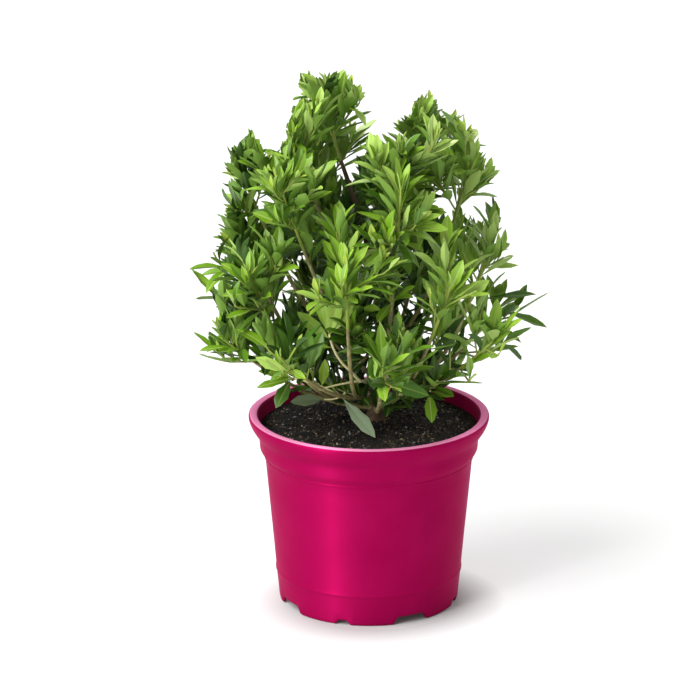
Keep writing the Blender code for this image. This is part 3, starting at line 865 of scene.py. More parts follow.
spray = dict(
    # To the left and to the right at each height, in millimetres: where the crown is thick ...
    body=(
        (150, 58, 56), (177, 70, 68), (190, 86, 80), (203, 106, 80), (216, 120, 70), (229, 119, 82),
        (243, 110, 102), (256, 114, 112), (269, 121, 109), (282, 123, 106), (295, 112, 104), (308, 107, 99),
        (335, 103, 95), (361, 104, 89), (374, 103, 86), (387, 92, 76), (400, 66, 66), (437, 57, 52),
    ),
    # ... and where its last thin sprays end
    reach=(
        (150, 62, 58), (177, 92, 88), (190, 111, 92), (203, 130, 123), (216, 148, 122), (229, 138, 150),
        (243, 123, 143), (256, 137, 147), (269, 148, 135), (282, 147, 123), (295, 124, 117), (322, 119, 106),
        (335, 124, 103), (361, 115, 108), (374, 113, 97), (387, 107, 95), (400, 83, 84), (437, 57, 52),
    ),
    # Across from left to right: how high the crown stands there
    skyline=(
        (-150, 276), (-126, 290), (-117, 341), (-109, 377), (-99, 389), (-86, 382), (-79, 368), (-70, 372),
        (-61, 402), (-53, 432), (-20, 435), (-6, 425), (4, 405), (16, 392), (30, 398), (38, 416), (50, 418), (58, 400),
        (72, 403), (80, 387), (88, 388), (96, 364), (104, 361), (112, 292), (120, 271), (134, 255), (150, 234),
    ),
    skirt=(156, 0.30),         # the lowest leaves start there, and rise by this share of the way out
    frontSkirt=(161, 0.33),
    thinning=15 * mm,
    fewest=0.42,               # share of a rosette's leaves that the last sprays keep
    airy=dict(x=44 * mm, heights=(198 * mm, 304 * mm), share=0.6),  # the right flank is open
    footSkirt=(149, 0.40, 12),  # the small leaves round the foot go lower, and lowest this near to the middle
    # The pale low shoots show in this clearing, whose upper edge rises towards the front
    clearing=dict(x=(-46 * mm, -1 * mm), y=-24 * mm, top=204 * mm, slope=0.31),
    box=30 * mm,
    bladeInside=7 * mm,        # only the tips of leaves come up to the outline
    ragged=8 * mm,             # and most of them stay a little short of it
    raggedPower=1.5,
    prune=15 * mm,             # a twig ends this far inside it
    pruneStep=2 * mm,
    barest=3,                  # a twig with fewer leaves than this is left out
    shortest=8 * mm,
    carryOn=(11 * mm, 19 * mm),  # how far each twig grows on, turning up
    carryLift=0.42,
    carryRadii=(0.85 * mm, 0.65 * mm),
    carryParts=3,
    carryTries=4,
    carryShorter=0.6,
    freeFrom=0.6,              # share of its first part by which a new twig is clear of its parent
    rosette=11,
    deepest=0.92,              # share of a shoot that a rosette can take up
    depth=33 * mm,
    heart=3,                   # small young leaves in the middle of a rosette
    heartLength=(0.36, 0.58),
    heartTilt=(4, 15),
    heartBack=0.4 * mm,
    upright=14,
    spread=47,
    tiltPower=0.8,
    tiltSway=(-8, 9),
    sizeCurve=(0.74, 0.62, 0.40),  # leaf size up the shoot: at the tip, its rise and its fall
    firstBack=0.6 * mm,
    backPower=1.3,
    leafLift=0.26,
    leafRise=0.3,
    leastPlace=0.02,
    golden=137.5,
    turnSway=(-14, 14),
    leafTurn=47,               # a leaf or shoot without room is tried again, turned by these and a little shorter
    shootTurn=61,
    shorter=0.06,
    tries=7,
    # Side shoots: where they leave, how long they are, and the size of their leaves
    sideShoots=dict(shares=(0.30, 0.52, 0.72), lengths=(14 * mm, 22 * mm), size=0.9, tints=()),
    twigShoots=dict(shares=(0.45,), lengths=(10 * mm, 16 * mm), size=0.9, tints=()),
    boughShoots=dict(shares=(0.22, 0.36, 0.50, 0.64, 0.78, 0.90), lengths=(18 * mm, 30 * mm), size=0.95, tints=()),
    trunkShoots=dict(
        shares=(0.30, 0.34, 0.40, 0.46, 0.51, 0.56, 0.60, 0.64, 0.68, 0.71, 0.75, 0.78, 0.82, 0.85, 0.89, 0.92),
        lengths=(18 * mm, 30 * mm), size=0.95, tints=(),
    ),
    # The small shoots round the foot take the darkest greens: painted shade low in the crown
    footShoots=dict(
        shares=(0.14, 0.20, 0.26, 0.17, 0.23, 0.29, 0.15, 0.21, 0.27),
        lengths=(8 * mm, 16 * mm), size=0.55, tints=(0, 0, 1, 1),
    ),
    shootSpread=40,
    shootSway=(-8, 8),
    shootLeaves=8,
    shootHeart=2,
    shootRadii=(0.8 * mm, 0.65 * mm),
    shootFree=1.2 * mm,
    elbow=0.5,
    elbowLift=0.7,
    # Single leaves: older ones on the stems, small ones on the lowest part of the boughs, in the darkest greens as
    # painted shade
    stemLeaves=dict(
        shares=(0.3, 0.38, 0.47, 0.55, 0.64, 0.72, 0.8, 0.88),
        turn=47, angles=(34, 56), lift=0.26, rise=0.4, sizes=(0.8, 1.05), tints=(),
    ),
    footLeaves=dict(
        shares=(0.08, 0.13, 0.18, 0.23, 0.28, 0.33, 0.38, 0.43, 0.48, 0.53, 0.58),
        turn=61, angles=(38, 64), lift=0.0, rise=0.6, sizes=(0.5, 0.95), tints=(0, 0, 1, 1),
    ),
    neck=0.14,
    # Tips of single long leaves on both flanks, in millimetres, and their tints
    farTips=(
        ((141, 10, 222), 2), ((141, 12, 250), 3), ((129, -14, 259), 1), ((126, -22, 233), 2), ((119, -24, 205), 1),
        ((90, -40, 193), 2), ((-139, -5, 272), 4), ((-138, 2, 219), 3), ((-128, -8, 208), 3), ((-136, 14, 246), 2),
    ),
    farLengths=(26 * mm, 38 * mm, 52 * mm),  # shortest, best and longest
    farRoots=(0.5, 0.65, 0.8, 0.95),
    farBend=(-0.05, 0.25),
    farWidth=0.24,
    seed=9000,
)
# The greens are dealt by place as painted light and shade: paler high up, outside and to the right, darker within and
# low down
tintRule = dict(
    reach=140 * mm,
    foot=160 * mm,
    height=270 * mm,
    base=-0.02,
    outward=0.46,
    rise=(0.42, 0.16),
    right=0.22,
    spread=0.13,
    steps=(-1, 0, 0, 0, 1),
)
leafColours = dict(
    tops=((0.017, 0.052, 0.004), (0.045, 0.120, 0.006), (0.092, 0.212, 0.009), (0.155, 0.310, 0.013),
          (0.230, 0.410, 0.030), (0.330, 0.510, 0.080), (0.450, 0.605, 0.190)),  # from dark to pale
    unders=((0.045, 0.100, 0.016), (0.150, 0.270, 0.038), (0.285, 0.420, 0.095)),
    # Under sides and ribs darken with the green, so they carry the same painted shade
    underOf=(0, 0, 1, 1, 1, 2, 2),
    ribs=((0.130, 0.210, 0.035), (0.330, 0.430, 0.090)),
    ribOf=(0, 0, 0, 1, 1, 1, 1),
    young=(0.31, 0.43, 0.045),
    pale=(0.25, 0.33, 0.20),   # the low leaves that hang over the soil
    grey=(0.080, 0.110, 0.055),
    ownShade=5,                # the under side that leaves of a colour of their own take from the greens
    look=(0.37, 0.45),         # roughness and gloss
    underLook=(0.6, 0.25),
    ribLook=(0.5, 0.3),
)
leafProxyFaces = ((0, 1, 2), (1, 2, 4, 3), (3, 4, 5), (0, 1, 3), (0, 2, 4), (0, 3, 5), (0, 4, 5))


def between(table, value):
    # Reads a table of pairs in millimetres
    for (low, near), (high, far) in zip(table, table[1:]):
        if low * mm <= value <= high * mm:
            return (near + (far - near) * (value - low * mm) / ((high - low) * mm)) * mm
    return 0.0


def fullness(point):
    # 1 where the crown is thick, less out in its thin sprays
    centre, reach = outlineAt(point.z + backFall(point), spray["body"])
    beyond = math.hypot(point.x - centre.x, point.y) - reach
    full = max(spray["fewest"], min(1.0, 1.0 - beyond / spray["thinning"]))
    airy = spray["airy"]
    low, high = airy["heights"]
    return full * airy["share"] if point.x > airy["x"] and low < point.z < high else full


def bentPlace(root, direction, facing, length, bend, share):
    # A point along the middle of a leaf that bends evenly away from its upper side
    angle = bend * share
    if abs(bend) < 1e-4:
        return root + direction * (length * share)
    forward = math.sin(angle) / bend
    down = (1 - math.cos(angle)) / bend
    return root + (direction * forward - facing * down) * length


class Leaf:
    # One leaf's place and habit, and a coarse stand-in for it that finds room

    def __init__(self, root, direction, facing, length, draw, tint):
        self.root = root
        self.direction = direction
        self.side = direction.cross(facing).normalized()
        self.facing = self.side.cross(direction).normalized()
        self.length = length
        self.width = draw.uniform(*leafShape["width"])
        self.fold = draw.uniform(*leafShape["fold"])
        self.bend = draw.uniform(*leafShape["bend"])
        self.twist = draw.uniform(-1, 1) * leafShape["twist"]
        self.phase = draw.uniform(0, math.tau)
        self.tint = tint

    def corners(self):
        half = self.length * self.width / 2
        place = bentPlace(self.root, self.direction, self.facing, self.length, self.bend, leafShape["waist"])
        tip = bentPlace(self.root, self.direction, self.facing, self.length, self.bend, 1.0)
        lift = self.facing * (half * self.fold)
        thick = leafShape["standIn"]
        return [
            self.root - self.facing * thick,
            self.root - self.side * thick + self.facing * thick,
            self.root + self.side * thick + self.facing * thick,
            place - self.side * half + lift,
            place + self.side * half + lift,
            tip,
        ]

    def fits(self, crowd, anywhere=False):
        whole = self.corners()
        if not anywhere:
            if not all(crowd.holds(point, spray["bladeInside"]) for point in whole[:5]):
                return False
            if not crowd.holds(whole[5], spray["ragged"] * (self.phase / math.tau) ** spray["raggedPower"]):
                return False
        neck = [whole[i].lerp(whole[5], spray["neck"]) for i in range(3)]
        return crowd.takes((whole, leafProxyFaces), (neck + whole[3:], leafProxyFaces), anywhere)


class Crowd:
    # All twigs and leaves that have been given room, found again by the small boxes that they lie in

    def __init__(self, limbs):
        self.limbs = limbs
        self.boxes = {}
        self.atFoot = False  # while the small leaves round the foot grow

    def holds(self, point, inside=0.0):
        height = point.z + backFall(point)
        centre, reach = outlineAt(height, spray["reach"])
        out = math.hypot(point.x, point.y)
        if math.hypot(point.x - centre.x, point.y) > reach - inside:
            return False
        if height > between(spray["skyline"], point.x) - inside:
            return False
        clear = spray["clearing"]
        if clear["x"][0] < point.x < clear["x"][1] and point.y < clear["y"]:
            if point.z < clear["top"] - clear["slope"] * point.y:
                return False
        if self.atFoot:
            start, rise, level = spray["footSkirt"]
            return point.z > start * mm + rise * max(0.0, out - level * mm)
        start, rise = spray["skirt"]
        frontStart, frontRise = spray["frontSkirt"]
        return point.z > max(start * mm + rise * out, frontStart * mm - frontRise * point.y)

    def takes(self, whole, outer, anywhere=False):
        if not anywhere and not all(self.holds(point) for point in whole[0]):
            return False
        shape = BVHTree.FromPolygons(*outer)
        if self.limbs.overlap(shape):
            return False
        size = spray["box"]
        lows = [math.floor(min(corner[i] for corner in outer[0]) / size) for i in range(3)]
        highs = [math.floor(max(corner[i] for corner in outer[0]) / size) for i in range(3)]
        spans = [range(low, high + 1) for low, high in zip(lows, highs)]
        keys = [(x, y, z) for x in spans[0] for y in spans[1] for z in spans[2]]
        if any(other.overlap(shape) for key in keys for other in self.boxes.get(key, ())):
            return False
        for key in keys:
            self.boxes.setdefault(key, []).append(shape)
        return True


def shareBack(limb, distance):
    # The share of a limb's points that lies a distance back from its tip
    last = len(limb.points) - 1
    for i in range(last - 1, -1, -1):
        step = (limb.points[i + 1] - limb.points[i]).length
        if distance <= step:
            return (i + 1 - distance / step) / last
        distance -= step
    return 0.0


def pruned(limb, crowd):
    # The same twig, cut back to where leaves still have room round it
    length = sum((b - a).length for a, b in zip(limb.points, limb.points[1:]))
    back = 0.0
    while length - back > spray["shortest"]:
        share = shareBack(limb, back)
        tip = limb.at(share)[0]
        if crowd.holds(tip, spray["prune"]):
            if back == 0.0:
                return limb
            i = int(share * (len(limb.points) - 1))
            return Limb(limb.points[:i + 1] + [tip], [*limb.radii[:i + 1], limb.at(share)[2]], limb.facings[0])
        back += spray["pruneStep"]
    return None


def carriedOn(limb, draw, crowd):
    # The same twig, grown on a little way with its tip turning up
    length = draw.uniform(*spray["carryOn"]) * fullness(limb.points[-1])
    parts, (thick, thin) = spray["carryParts"], spray["carryRadii"]
    for _ in range(spray["carryTries"]):
        direction, points = limb.direction, [limb.points[-1]]
        for _ in range(parts):
            direction = (direction + up * spray["carryLift"]).normalized()
            points.append(points[-1] + direction * (length / parts))
        tube = Limb(points, [thick] * len(points))
        beyond = Limb([points[0].lerp(points[1], spray["freeFrom"]), *points[1:]], [thin] * len(points))
        if crowd.holds(points[-1], spray["prune"]) and crowd.takes(tube.parts(), beyond.parts()):
            radii = [thick] * (parts - 1) + [thin]
            return Limb(limb.points + points[1:], [*limb.radii, *radii])
        length *= spray["carryShorter"]
    return limb


def rosetteOn(limb, count, size, draw, crowd, tint, hearts):
    # Leaves in a spiral up a shoot: upright young ones at the tip and wider ones below
    found = []
    along = limb.direction
    full = fullness(limb.points[-1])
    count, hearts = round(count * full), round(hearts * full)
    length = sum((b - a).length for a, b in zip(limb.points, limb.points[1:]))
    depth = min(spray["depth"] * size, length * spray["deepest"])
    small, rise, fall = spray["sizeCurve"]
    turn = draw.uniform(0, 360)
    for k in range(-hearts, count):
        heart = k < 0
        share = max(0.0, k / max(1, count - 1))
        for attempt in range(spray["tries"]):
            if heart:
                tilt = draw.uniform(*spray["heartTilt"])
                scale = draw.uniform(*spray["heartLength"])
                back = spray["heartBack"]
            else:
                tilt = spray["upright"] + (spray["spread"] - spray["upright"]) * share ** spray["tiltPower"]
                tilt += draw.uniform(*spray["tiltSway"])
                scale = draw.uniform(*leafShape["sizes"]) * (small + rise * share - fall * share**2)
                back = spray["firstBack"] + depth * share ** spray["backPower"]
            bearing = turn + spray["golden"] * k + attempt * spray["leafTurn"] + draw.uniform(*spray["turnSway"])
            scale *= size * leafShape["length"] * (1 - spray["shorter"] * attempt)
            place = max(spray["leastPlace"], shareBack(limb, back))
            centre, direction = limb.branch(place, math.radians(tilt), math.radians(bearing))
            if not heart:
                direction = (direction + up * spray["leafLift"]).normalized()
            own = "young" if heart else nearTint(draw, tint)
            leaf = Leaf(centre, direction, along + up * spray["leafRise"], scale, draw, own)
            if leaf.fits(crowd):
                found.append(leaf)
                break
    return found


def someGreen(number):
    return min(len(leafColours["tops"]) - 1, max(0, number))


def dealTint(draw, point):
    # One green for a whole spray: paler high up, to the right and outside, as painted light, darker within and low
    # down, as painted shade
    outward = math.hypot(point.x, point.y) / tintRule["reach"]
    height = (point.z - tintRule["foot"]) / tintRule["height"]
    rise = tintRule["rise"][0] * height + tintRule["rise"][1] * height**3
    mean = tintRule["base"] + tintRule["outward"] * outward + rise + tintRule["right"] * point.x / tintRule["reach"]
    return someGreen(int(draw.gauss(mean, tintRule["spread"]) * len(leafColours["tops"])))


def nearTint(draw, tint):
    # A leaf is now and then a step paler or darker than its spray
    return someGreen(tint + draw.choice(tintRule["steps"]))


def shootsOn(parent, rule, draw, crowd, leaves):
    # Short side shoots, each with its own rosette
    made = []
    thick, thin = spray["shootRadii"]
    hearts = 0 if rule["tints"] else spray["shootHeart"]
    turn = draw.uniform(0, 360)
    for number, share in enumerate(rule["shares"]):
        if fullness(parent.at(share)[0]) < 1.0:
            continue
        for attempt in range(spray["tries"]):
            bearing = math.radians(turn + spray["golden"] * number + spray["shootTurn"] * attempt)
            angle = math.radians(spray["shootSpread"] + draw.uniform(*spray["shootSway"]))
            centre, heading = parent.branch(share, angle, bearing)
            radius = parent.at(share)[2]
            length = draw.uniform(*rule["lengths"]) * (1 - spray["shorter"] * attempt)
            elbow = centre + heading * (length * spray["elbow"])
            tip = elbow + (heading + up * spray["elbowLift"]).normalized() * (length * (1 - spray["elbow"]))
            shoot = Limb([centre, elbow, tip], [thick, thick, thin])
            outer = Limb([centre + heading * (radius + spray["shootFree"]), elbow, tip], shoot.radii)
            if crowd.takes(shoot.parts(), outer.parts()):
                tint = draw.choice(rule["tints"]) if rule["tints"] else dealTint(draw, tip)
                found = rosetteOn(shoot, spray["shootLeaves"], rule["size"], draw, crowd, tint, hearts)
                if len(found) >= spray["barest"]:
                    made.append(shoot)
                    leaves += found
                break
    return made


def leavesAlong(limb, rule, draw, crowd):
    # Single leaves along a limb
    found = []
    turn = draw.uniform(0, 360)
    for k, share in enumerate(rule["shares"]):
        for attempt in range(spray["tries"]):
            bearing = math.radians(turn + spray["golden"] * k + rule["turn"] * attempt)
            centre, direction = limb.branch(share, math.radians(draw.uniform(*rule["angles"])), bearing)
            if rule["lift"]:
                direction = (direction + up * rule["lift"]).normalized()
            length = leafShape["length"] * draw.uniform(*rule["sizes"])
            tint = draw.choice(rule["tints"]) if rule["tints"] else dealTint(draw, centre)
            leaf = Leaf(centre, direction, limb.direction + up * rule["rise"], length, draw, tint)
            if leaf.fits(crowd):
                found.append(leaf)
                break
    return found


def growFarLeaves(masses, draw, crowd):
    # Each grows from the stem or twig that lies at the best distance behind its tip
    shortest, best, longest = spray["farLengths"]
    for tip, tint in spray["farTips"]:
        tip = Vector(tip) * mm
        roots = []
        for name, mass in masses.items():
            for limb in [mass["stem"], *mass["twigs"]]:
                for share in spray["farRoots"]:
                    root = limb.at(share)[0]
                    away = (tip - root).length
                    if shortest < away < longest and root.xy.length < tip.xy.length:
                        roots.append((abs(away - best), name, root))
        for _, name, root in sorted(roots, key=lambda item: item[0]):
            away = tip - root
            leaf = Leaf(root, away.normalized(), up.copy(), away.length, draw, tint)
            leaf.bend, leaf.width = draw.uniform(*spray["farBend"]), spray["farWidth"]
            if leaf.fits(crowd, anywhere=True):
                masses[name]["leaves"].append(leaf)
                break
        else:
            print("no room for far leaf", tip)


# Low shoots at the front that hang over the soil, with their leaves in millimetres

lowShoots = dict(
    # radii at both ends, then the way, from a point or from a share of an earlier shoot
    paths=(
        ((1.3, 0.9), (6, 7, 170), (0, 0, 179), (-8, -9, 181), (-16, -16, 177), (-22, -20, 172.5)),
        ((1.0, 0.8), (0, 1.0), (-34.5, -24, 181), (-47, -27, 187), (-58, -30, 191)),
        ((0.7, 0.5), (0, 1.0), (-28, -22.5, 171.5), (-35, -25, 172)),
        ((1.4, 0.5), (4, 5, 165), (-1, -8, 179), (-7, -22, 186), (-20, -31, 187), (-34, -38, 186)),
        ((1.0, 0.7), (9, 8, 158), (22, -4, 168), (36, -14, 176), (48, -22, 181)),
        ((0.9, 0.6), (0, 9, 160), (-20, 0, 171), (-44, -9, 181), (-62, -17, 187)),
        ((1.2, 0.8), (3, 0.5), (-14, -29, 196), (-22, -34, 206), (-28, -40, 219), (-31, -44, 231)),
    ),
    nudges=((0, 0, 0), (0, 0, 3), (0, 0, -3), (0, -3, 0), (0, 3, 0), (3, 0, 0), (-3, 0, 0), (0, -5, 3), (5, -5, 0),
            (-5, -5, 0), (0, 0, 7), (0, 6, 3)),  # moves that are tried in turn, in millimetres
    bend=(0.05, 0.3),
    fold=(0.05, 0.25),
    # shoot, share of it, tip, upper side, width, tint
    leaves=(
        (0, 0.99, (5, -45, 147.6), (0.25, -0.75, 0.6), 0.27, "pale"),
        (2, 0.97, (-61, -31, 173.5), (0.0, -0.75, 0.65), 0.37, "grey"),
        (1, 0.98, (-86, -40, 201), (-0.1, -0.6, 0.8), 0.25, 4),
        (1, 0.94, (-74, -36, 214), (-0.3, -0.7, 0.5), 0.26, 5),
        (1, 0.99, (-88, -36, 188), (-0.1, -0.5, 0.85), 0.27, 3),
        (1, 0.86, (-60, -48, 212), (-0.1, -0.8, 0.5), 0.27, 4),
        (1, 0.72, (-66, -18, 214), (-0.5, -0.5, 0.6), 0.28, 3),
        (1, 0.55, (-44, -50, 205), (0.1, -0.7, 0.6), 0.28, 5),
        (1, 0.40, (-34, -40, 207), (0.1, -0.9, 0.3), 0.27, 4),
        (3, 0.97, (-58, -40, 196), (0.0, -0.5, 0.85), 0.24, 2),
        (3, 0.70, (-38, -44, 189), (0.0, -0.6, 0.8), 0.24, 1),
        (4, 0.97, (49, -39, 157.5), (0.1, -0.85, 0.5), 0.36, 3),
        (4, 0.99, (66, -33, 178), (0.0, -0.5, 0.85), 0.34, 3),
        (4, 0.80, (40, -42, 186), (0.0, -0.5, 0.85), 0.28, 3),
        (4, 0.60, (52, 2, 186), (0.3, -0.6, 0.7), 0.28, 2),
        (6, 0.66, (17, -55, 229), (0.0, -0.75, 0.65), 0.24, 2),
        (6, 0.84, (20, -49, 241), (0.0, -0.75, 0.65), 0.25, 2),
        (6, 0.97, (-24, -54, 268), (0.0, -0.9, -0.4), 0.30, 5),
        (6, 0.99, (-10, -50, 261), (0.1, -0.9, -0.4), 0.26, 5),
        (6, 0.90, (-55, -50, 250), (-0.1, -0.9, 0.2), 0.27, 4),
        (6, 0.75, (-58, -54, 229), (-0.1, -0.8, 0.5), 0.26, 3),
        (6, 0.98, (-42, -42, 266), (-0.3, -0.9, -0.1), 0.27, 4),
        (5, 0.98, (-73, -32, 167.5), (-0.3, -0.85, 0.4), 0.40, 1),
        (5, 0.90, (-82, -20, 197), (-0.2, -0.6, 0.75), 0.26, 2),
    ),
)


def growLowShoots(draw, crowd):
    limbs, leaves = [], []
    for (first, last), start, *path in lowShoots["paths"]:
        radii = [(first + (last - first) * i / len(path)) * mm for i in range(len(path) + 1)]
        start = Vector(start) * mm if len(start) == 3 else limbs[start[0]].at(start[1])[0]
        for nudge in lowShoots["nudges"]:
            points = [start] + [(Vector(point) + Vector(nudge)) * mm for point in path]
            shoot = Limb(points, radii)
            outer = Limb([points[0].lerp(points[1], spray["freeFrom"]), *points[1:]], radii)
            if crowd.takes(shoot.parts(), outer.parts(), anywhere=True):
                break
        else:
            print("low shoot touches its neighbours:", len(limbs))
        limbs.append(shoot)
    for number, share, tip, facing, width, tint in lowShoots["leaves"]:
        root = limbs[number].at(share)[0]
        away = Vector(tip) * mm - root
        leaf = Leaf(root, away.normalized(), Vector(facing), away.length, draw, tint)
        leaf.width, leaf.twist = width, 0.0
        leaf.bend, leaf.fold = draw.uniform(*lowShoots["bend"]), draw.uniform(*lowShoots["fold"])
        if leaf.fits(crowd, anywhere=True):
            leaves.append(leaf)
        else:
            print("no room for low leaf", number, share)
    return limbs, leaves


def startMasses(plan, limbs, tree, crowd):
    # Each mass's stem and twigs as the solids have them, cut back to where leaves have room
    starts = []
    for name, middle, _, tier, _ in plan:
        limb = limbs["trunk"] if tier == "leader" else limbs[f"bough_{name}"]
        starts.append((name, middle, limb.nextFoot(), limb.direction, limb.direction))
    for i in range(shrub["innerCount"]):
        foot, rising, seat = innerSeat(limbs["trunk"], tree, i)
        starts.append((f"inner_{i + 1}", foot + rising * shrub["massBack"], foot, rising, seat))
    middles = [middle for _, middle, *_ in starts]
    masses = {}
    for index, (name, middle, foot, direction, seat) in enumerate(starts):
        space = Space(middle, middles[:index] + middles[index + 1:], tree)
        stem = Limb(stemLine(foot, direction), shrub["stemRadii"], seat)
        space.filled.append(BVHTree.FromPolygons(*stem.parts()))
        twigs = sideTwigs(stem, random.Random(shrub["seed"] + index), space)
        twigs = [twig for twig in (pruned(twig, crowd) for twig in twigs) if twig]
        stem = pruned(stem, crowd) or stem
        masses[name] = dict(stem=stem, twigs=twigs, leaves=[], draw=random.Random(spray["seed"] + index))
    for mass in masses.values():
        for limb in [mass["stem"], *mass["twigs"]]:
            outer = Limb([limb.points[0].lerp(limb.points[1], shrub["twigNeck"]), *limb.points[1:]], limb.radii)
            crowd.takes(limb.parts(), outer.parts(), anywhere=True)
    return masses


def growShrub():
    plan = planMasses()
    limbs = growLimbs(plan, trunkLimb())
    tree = limbTree(limbs)
    crowd = Crowd(tree)
    masses = startMasses(plan, limbs, tree, crowd)
    draw = random.Random(spray["seed"] - 1)
    within = masses["inner_1"]  # shoots on the trunk itself belong to the innermost masses
    lowLimbs, lowLeaves = growLowShoots(draw, crowd)
    within["leaves"] += lowLeaves
    for mass in masses.values():
        mass["stem"] = carriedOn(mass["stem"], mass["draw"], crowd)
        mass["twigs"] = [carriedOn(twig, mass["draw"], crowd) for twig in mass["twigs"]]
    for mass in masses.values():
        for limb in [mass["stem"], *mass["twigs"]]:
            tint = dealTint(mass["draw"], limb.points[-1])
            found = rosetteOn(limb, spray["rosette"], 1.0, mass["draw"], crowd, tint, spray["heart"])
            if len(found) < spray["barest"] and limb is not mass["stem"]:
                mass["twigs"] = [twig for twig in mass["twigs"] if twig is not limb]
            else:
                mass["leaves"] += found
    for mass in masses.values():
        draw, leaves = mass["draw"], mass["leaves"]
        shoots = shootsOn(mass["stem"], spray["sideShoots"], draw, crowd, leaves)
        for twig in mass["twigs"]:
            shoots += shootsOn(twig, spray["twigShoots"], draw, crowd, leaves)
        mass["twigs"] += shoots
        leaves += leavesAlong(mass["stem"], spray["stemLeaves"], draw, crowd)
    for name, limb in limbs.items():
        mass = within if name == "trunk" else masses[name.removeprefix("bough_")]
        rule = spray["trunkShoots"] if name == "trunk" else spray["boughShoots"]
        mass["twigs"] += shootsOn(limb, rule, mass["draw"], crowd, mass["leaves"])
    growFarLeaves(masses, draw, crowd)  # from here on the last mass's draws go on
    crowd.atFoot = True
    within["twigs"] += shootsOn(limbs["trunk"], spray["footShoots"], draw, crowd, within["leaves"])
    for name, limb in limbs.items():
        if name != "trunk":
            masses[name.removeprefix("bough_")]["leaves"] += leavesAlong(limb, spray["footLeaves"], draw, crowd)
    count = sum(len(mass["leaves"]) for mass in masses.values())
    twigCount = sum(len(mass["twigs"]) for mass in masses.values())
    print("grown:", len(limbs), "limbs,", len(masses), "masses,", twigCount, "twigs,", count, "leaves")
    return limbs, masses, lowLimbs


def leafTemplate():
    # Faces of one leaf: columns are left edge, left half, two sides of the midrib, right half, right edge, keel
    stations = len(leafShape["stations"]) - 1
    columns = 7
    tip = stations * columns
    faces, parts = [], []
    for i in range(stations):
        a, b = i * columns, (i + 1) * columns
        for k in range(5):
            part = 1 if k == 2 else 0
            if i < stations - 1:
                faces.append((a + k, a + k + 1, b + k + 1, b + k))
            else:
                faces.append((a + k, a + k + 1, tip))
            parts.append(part)
        for near, far in ((5, 6), (6, 0)):
            if i < stations - 1:
                faces.append((a + near, a + far, b + far, b + near))
            else:
                faces.append((a + near, a + far, tip))
            parts.append(2)
    faces.append((6, 5, 4, 3, 2, 1, 0))
    parts.append(2)
    return faces, np.array(parts)


def leafPoints(leaves):
    # All corners of all leaves at once, as (leaves, corners, 3)
    def rows(name):
        return np.array([getattr(leaf, name)[:] for leaf in leaves])

    def numbers(name):
        return np.array([getattr(leaf, name) for leaf in leaves])

    root, ahead, side, facing = rows("root"), rows("direction"), rows("side"), rows("facing")
    length, fold, bend, slim = numbers("length"), numbers("fold"), numbers("bend"), numbers("width")
    twist, phase = numbers("twist"), numbers("phase")
    bend = np.where(np.abs(bend) < leafShape["leastBend"], leafShape["leastBend"], bend)
    half = length * slim / 2
    part, calm = leafShape["halfway"], leafShape["calm"]
    columns = []
    for number, (share, width) in enumerate(zip(leafShape["stations"], leafShape["widths"])):
        angle = bend * share
        forward, down = np.sin(angle) / bend, (1 - np.cos(angle)) / bend
        middle = root + (ahead * forward[:, None] - facing * down[:, None]) * length[:, None]
        normal = ahead * np.sin(angle)[:, None] + facing * np.cos(angle)[:, None]
        turn = twist * share
        across = side * np.cos(turn)[:, None] + normal * np.sin(turn)[:, None]
        normal = normal * np.cos(turn)[:, None] - side * np.sin(turn)[:, None]
        if share == 1.0:
            columns.append(middle[:, None, :])
            continue
        wide = half * width
        swing = leafShape["teeth"] * (1 if number % 2 else -1) * (1 if number > 1 else 0)
        left, right = wide * (1 + swing), wide * (1 - swing)
        rib = leafShape["rib"][0] * (1 - share) + leafShape["rib"][1] * share
        rib = np.minimum(rib, wide * leafShape["ribMost"])
        puff = wide * leafShape["puff"]
        ripple = half * leafShape["wave"] * np.sin(phase + share * leafShape["waves"])
        ripple = ripple * min(1.0, width * leafShape["waveGrows"])
        deep = leafShape["groove"] * min(1.0, width * leafShape["grooveGrows"]) * np.ones(len(leaves))
        keel = (leafShape["thick"] + leafShape["footThick"] * (1 - share)) * np.ones(len(leaves))
        spots = (
            (-left, wide * fold + ripple),
            (-part * wide, part * wide * fold + puff + calm * ripple),
            (-rib, -deep),
            (rib, -deep),
            (part * wide, part * wide * fold + puff - calm * ripple),
            (right, wide * fold - ripple),
            (0.0 * wide, -keel),
        )
        for out, high in spots:
            columns.append((middle + across * out[:, None] + normal * high[:, None])[:, None, :])
    return np.concatenate(columns, axis=1)


def tubePiece(name, lines, sides):
    # Round limbs from centre lines, as one curve object that is then made a mesh
    curve = bpy.data.curves.new(name, "CURVE")
    curve.dimensions = "3D"
    curve.bevel_depth = 1.0
    curve.bevel_resolution = sides
    curve.use_fill_caps = True
    for points, radii in lines:
        spline = curve.splines.new("POLY")
        spline.points.add(len(points) - 1)
        for spot, point, radius in zip(spline.points, points, radii):
            spot.co = (*point, 1.0)
            spot.radius = radius
    piece = bpy.data.objects.new(name, curve)
    bpy.context.scene.collection.objects.link(piece)
    choose(piece)
    bpy.ops.object.convert(target="MESH")
    piece = bpy.context.object
    bpy.ops.object.mode_set(mode="EDIT")
    bpy.ops.mesh.select_all(action="SELECT")
    bpy.ops.mesh.remove_doubles(threshold=0.001 * mm)
    bpy.ops.mesh.normals_make_consistent(inside=False)
    bpy.ops.object.mode_set(mode="OBJECT")
    return piece


def smoothLine(points, radii, parts):
    # More points on the same line, rounded between the given ones
    ends = [points[0] * 2 - points[1], *points, points[-1] * 2 - points[-2]]
    line, sizes = [], []
    for i in range(len(points) - 1):
        a, b, c, d = ends[i:i + 4]
        for step in range(parts):
            t = step / parts
            line.append(((b * 2) + (c - a) * t + (a * 2 - b * 5 + c * 4 - d) * t**2
                         + (b * 3 - a - c * 3 + d) * t**3) * 0.5)
            sizes.append(radii[i] * (1 - t) + radii[i + 1] * t)
    line.append(points[-1])
    sizes.append(radii[-1])
    return line, sizes


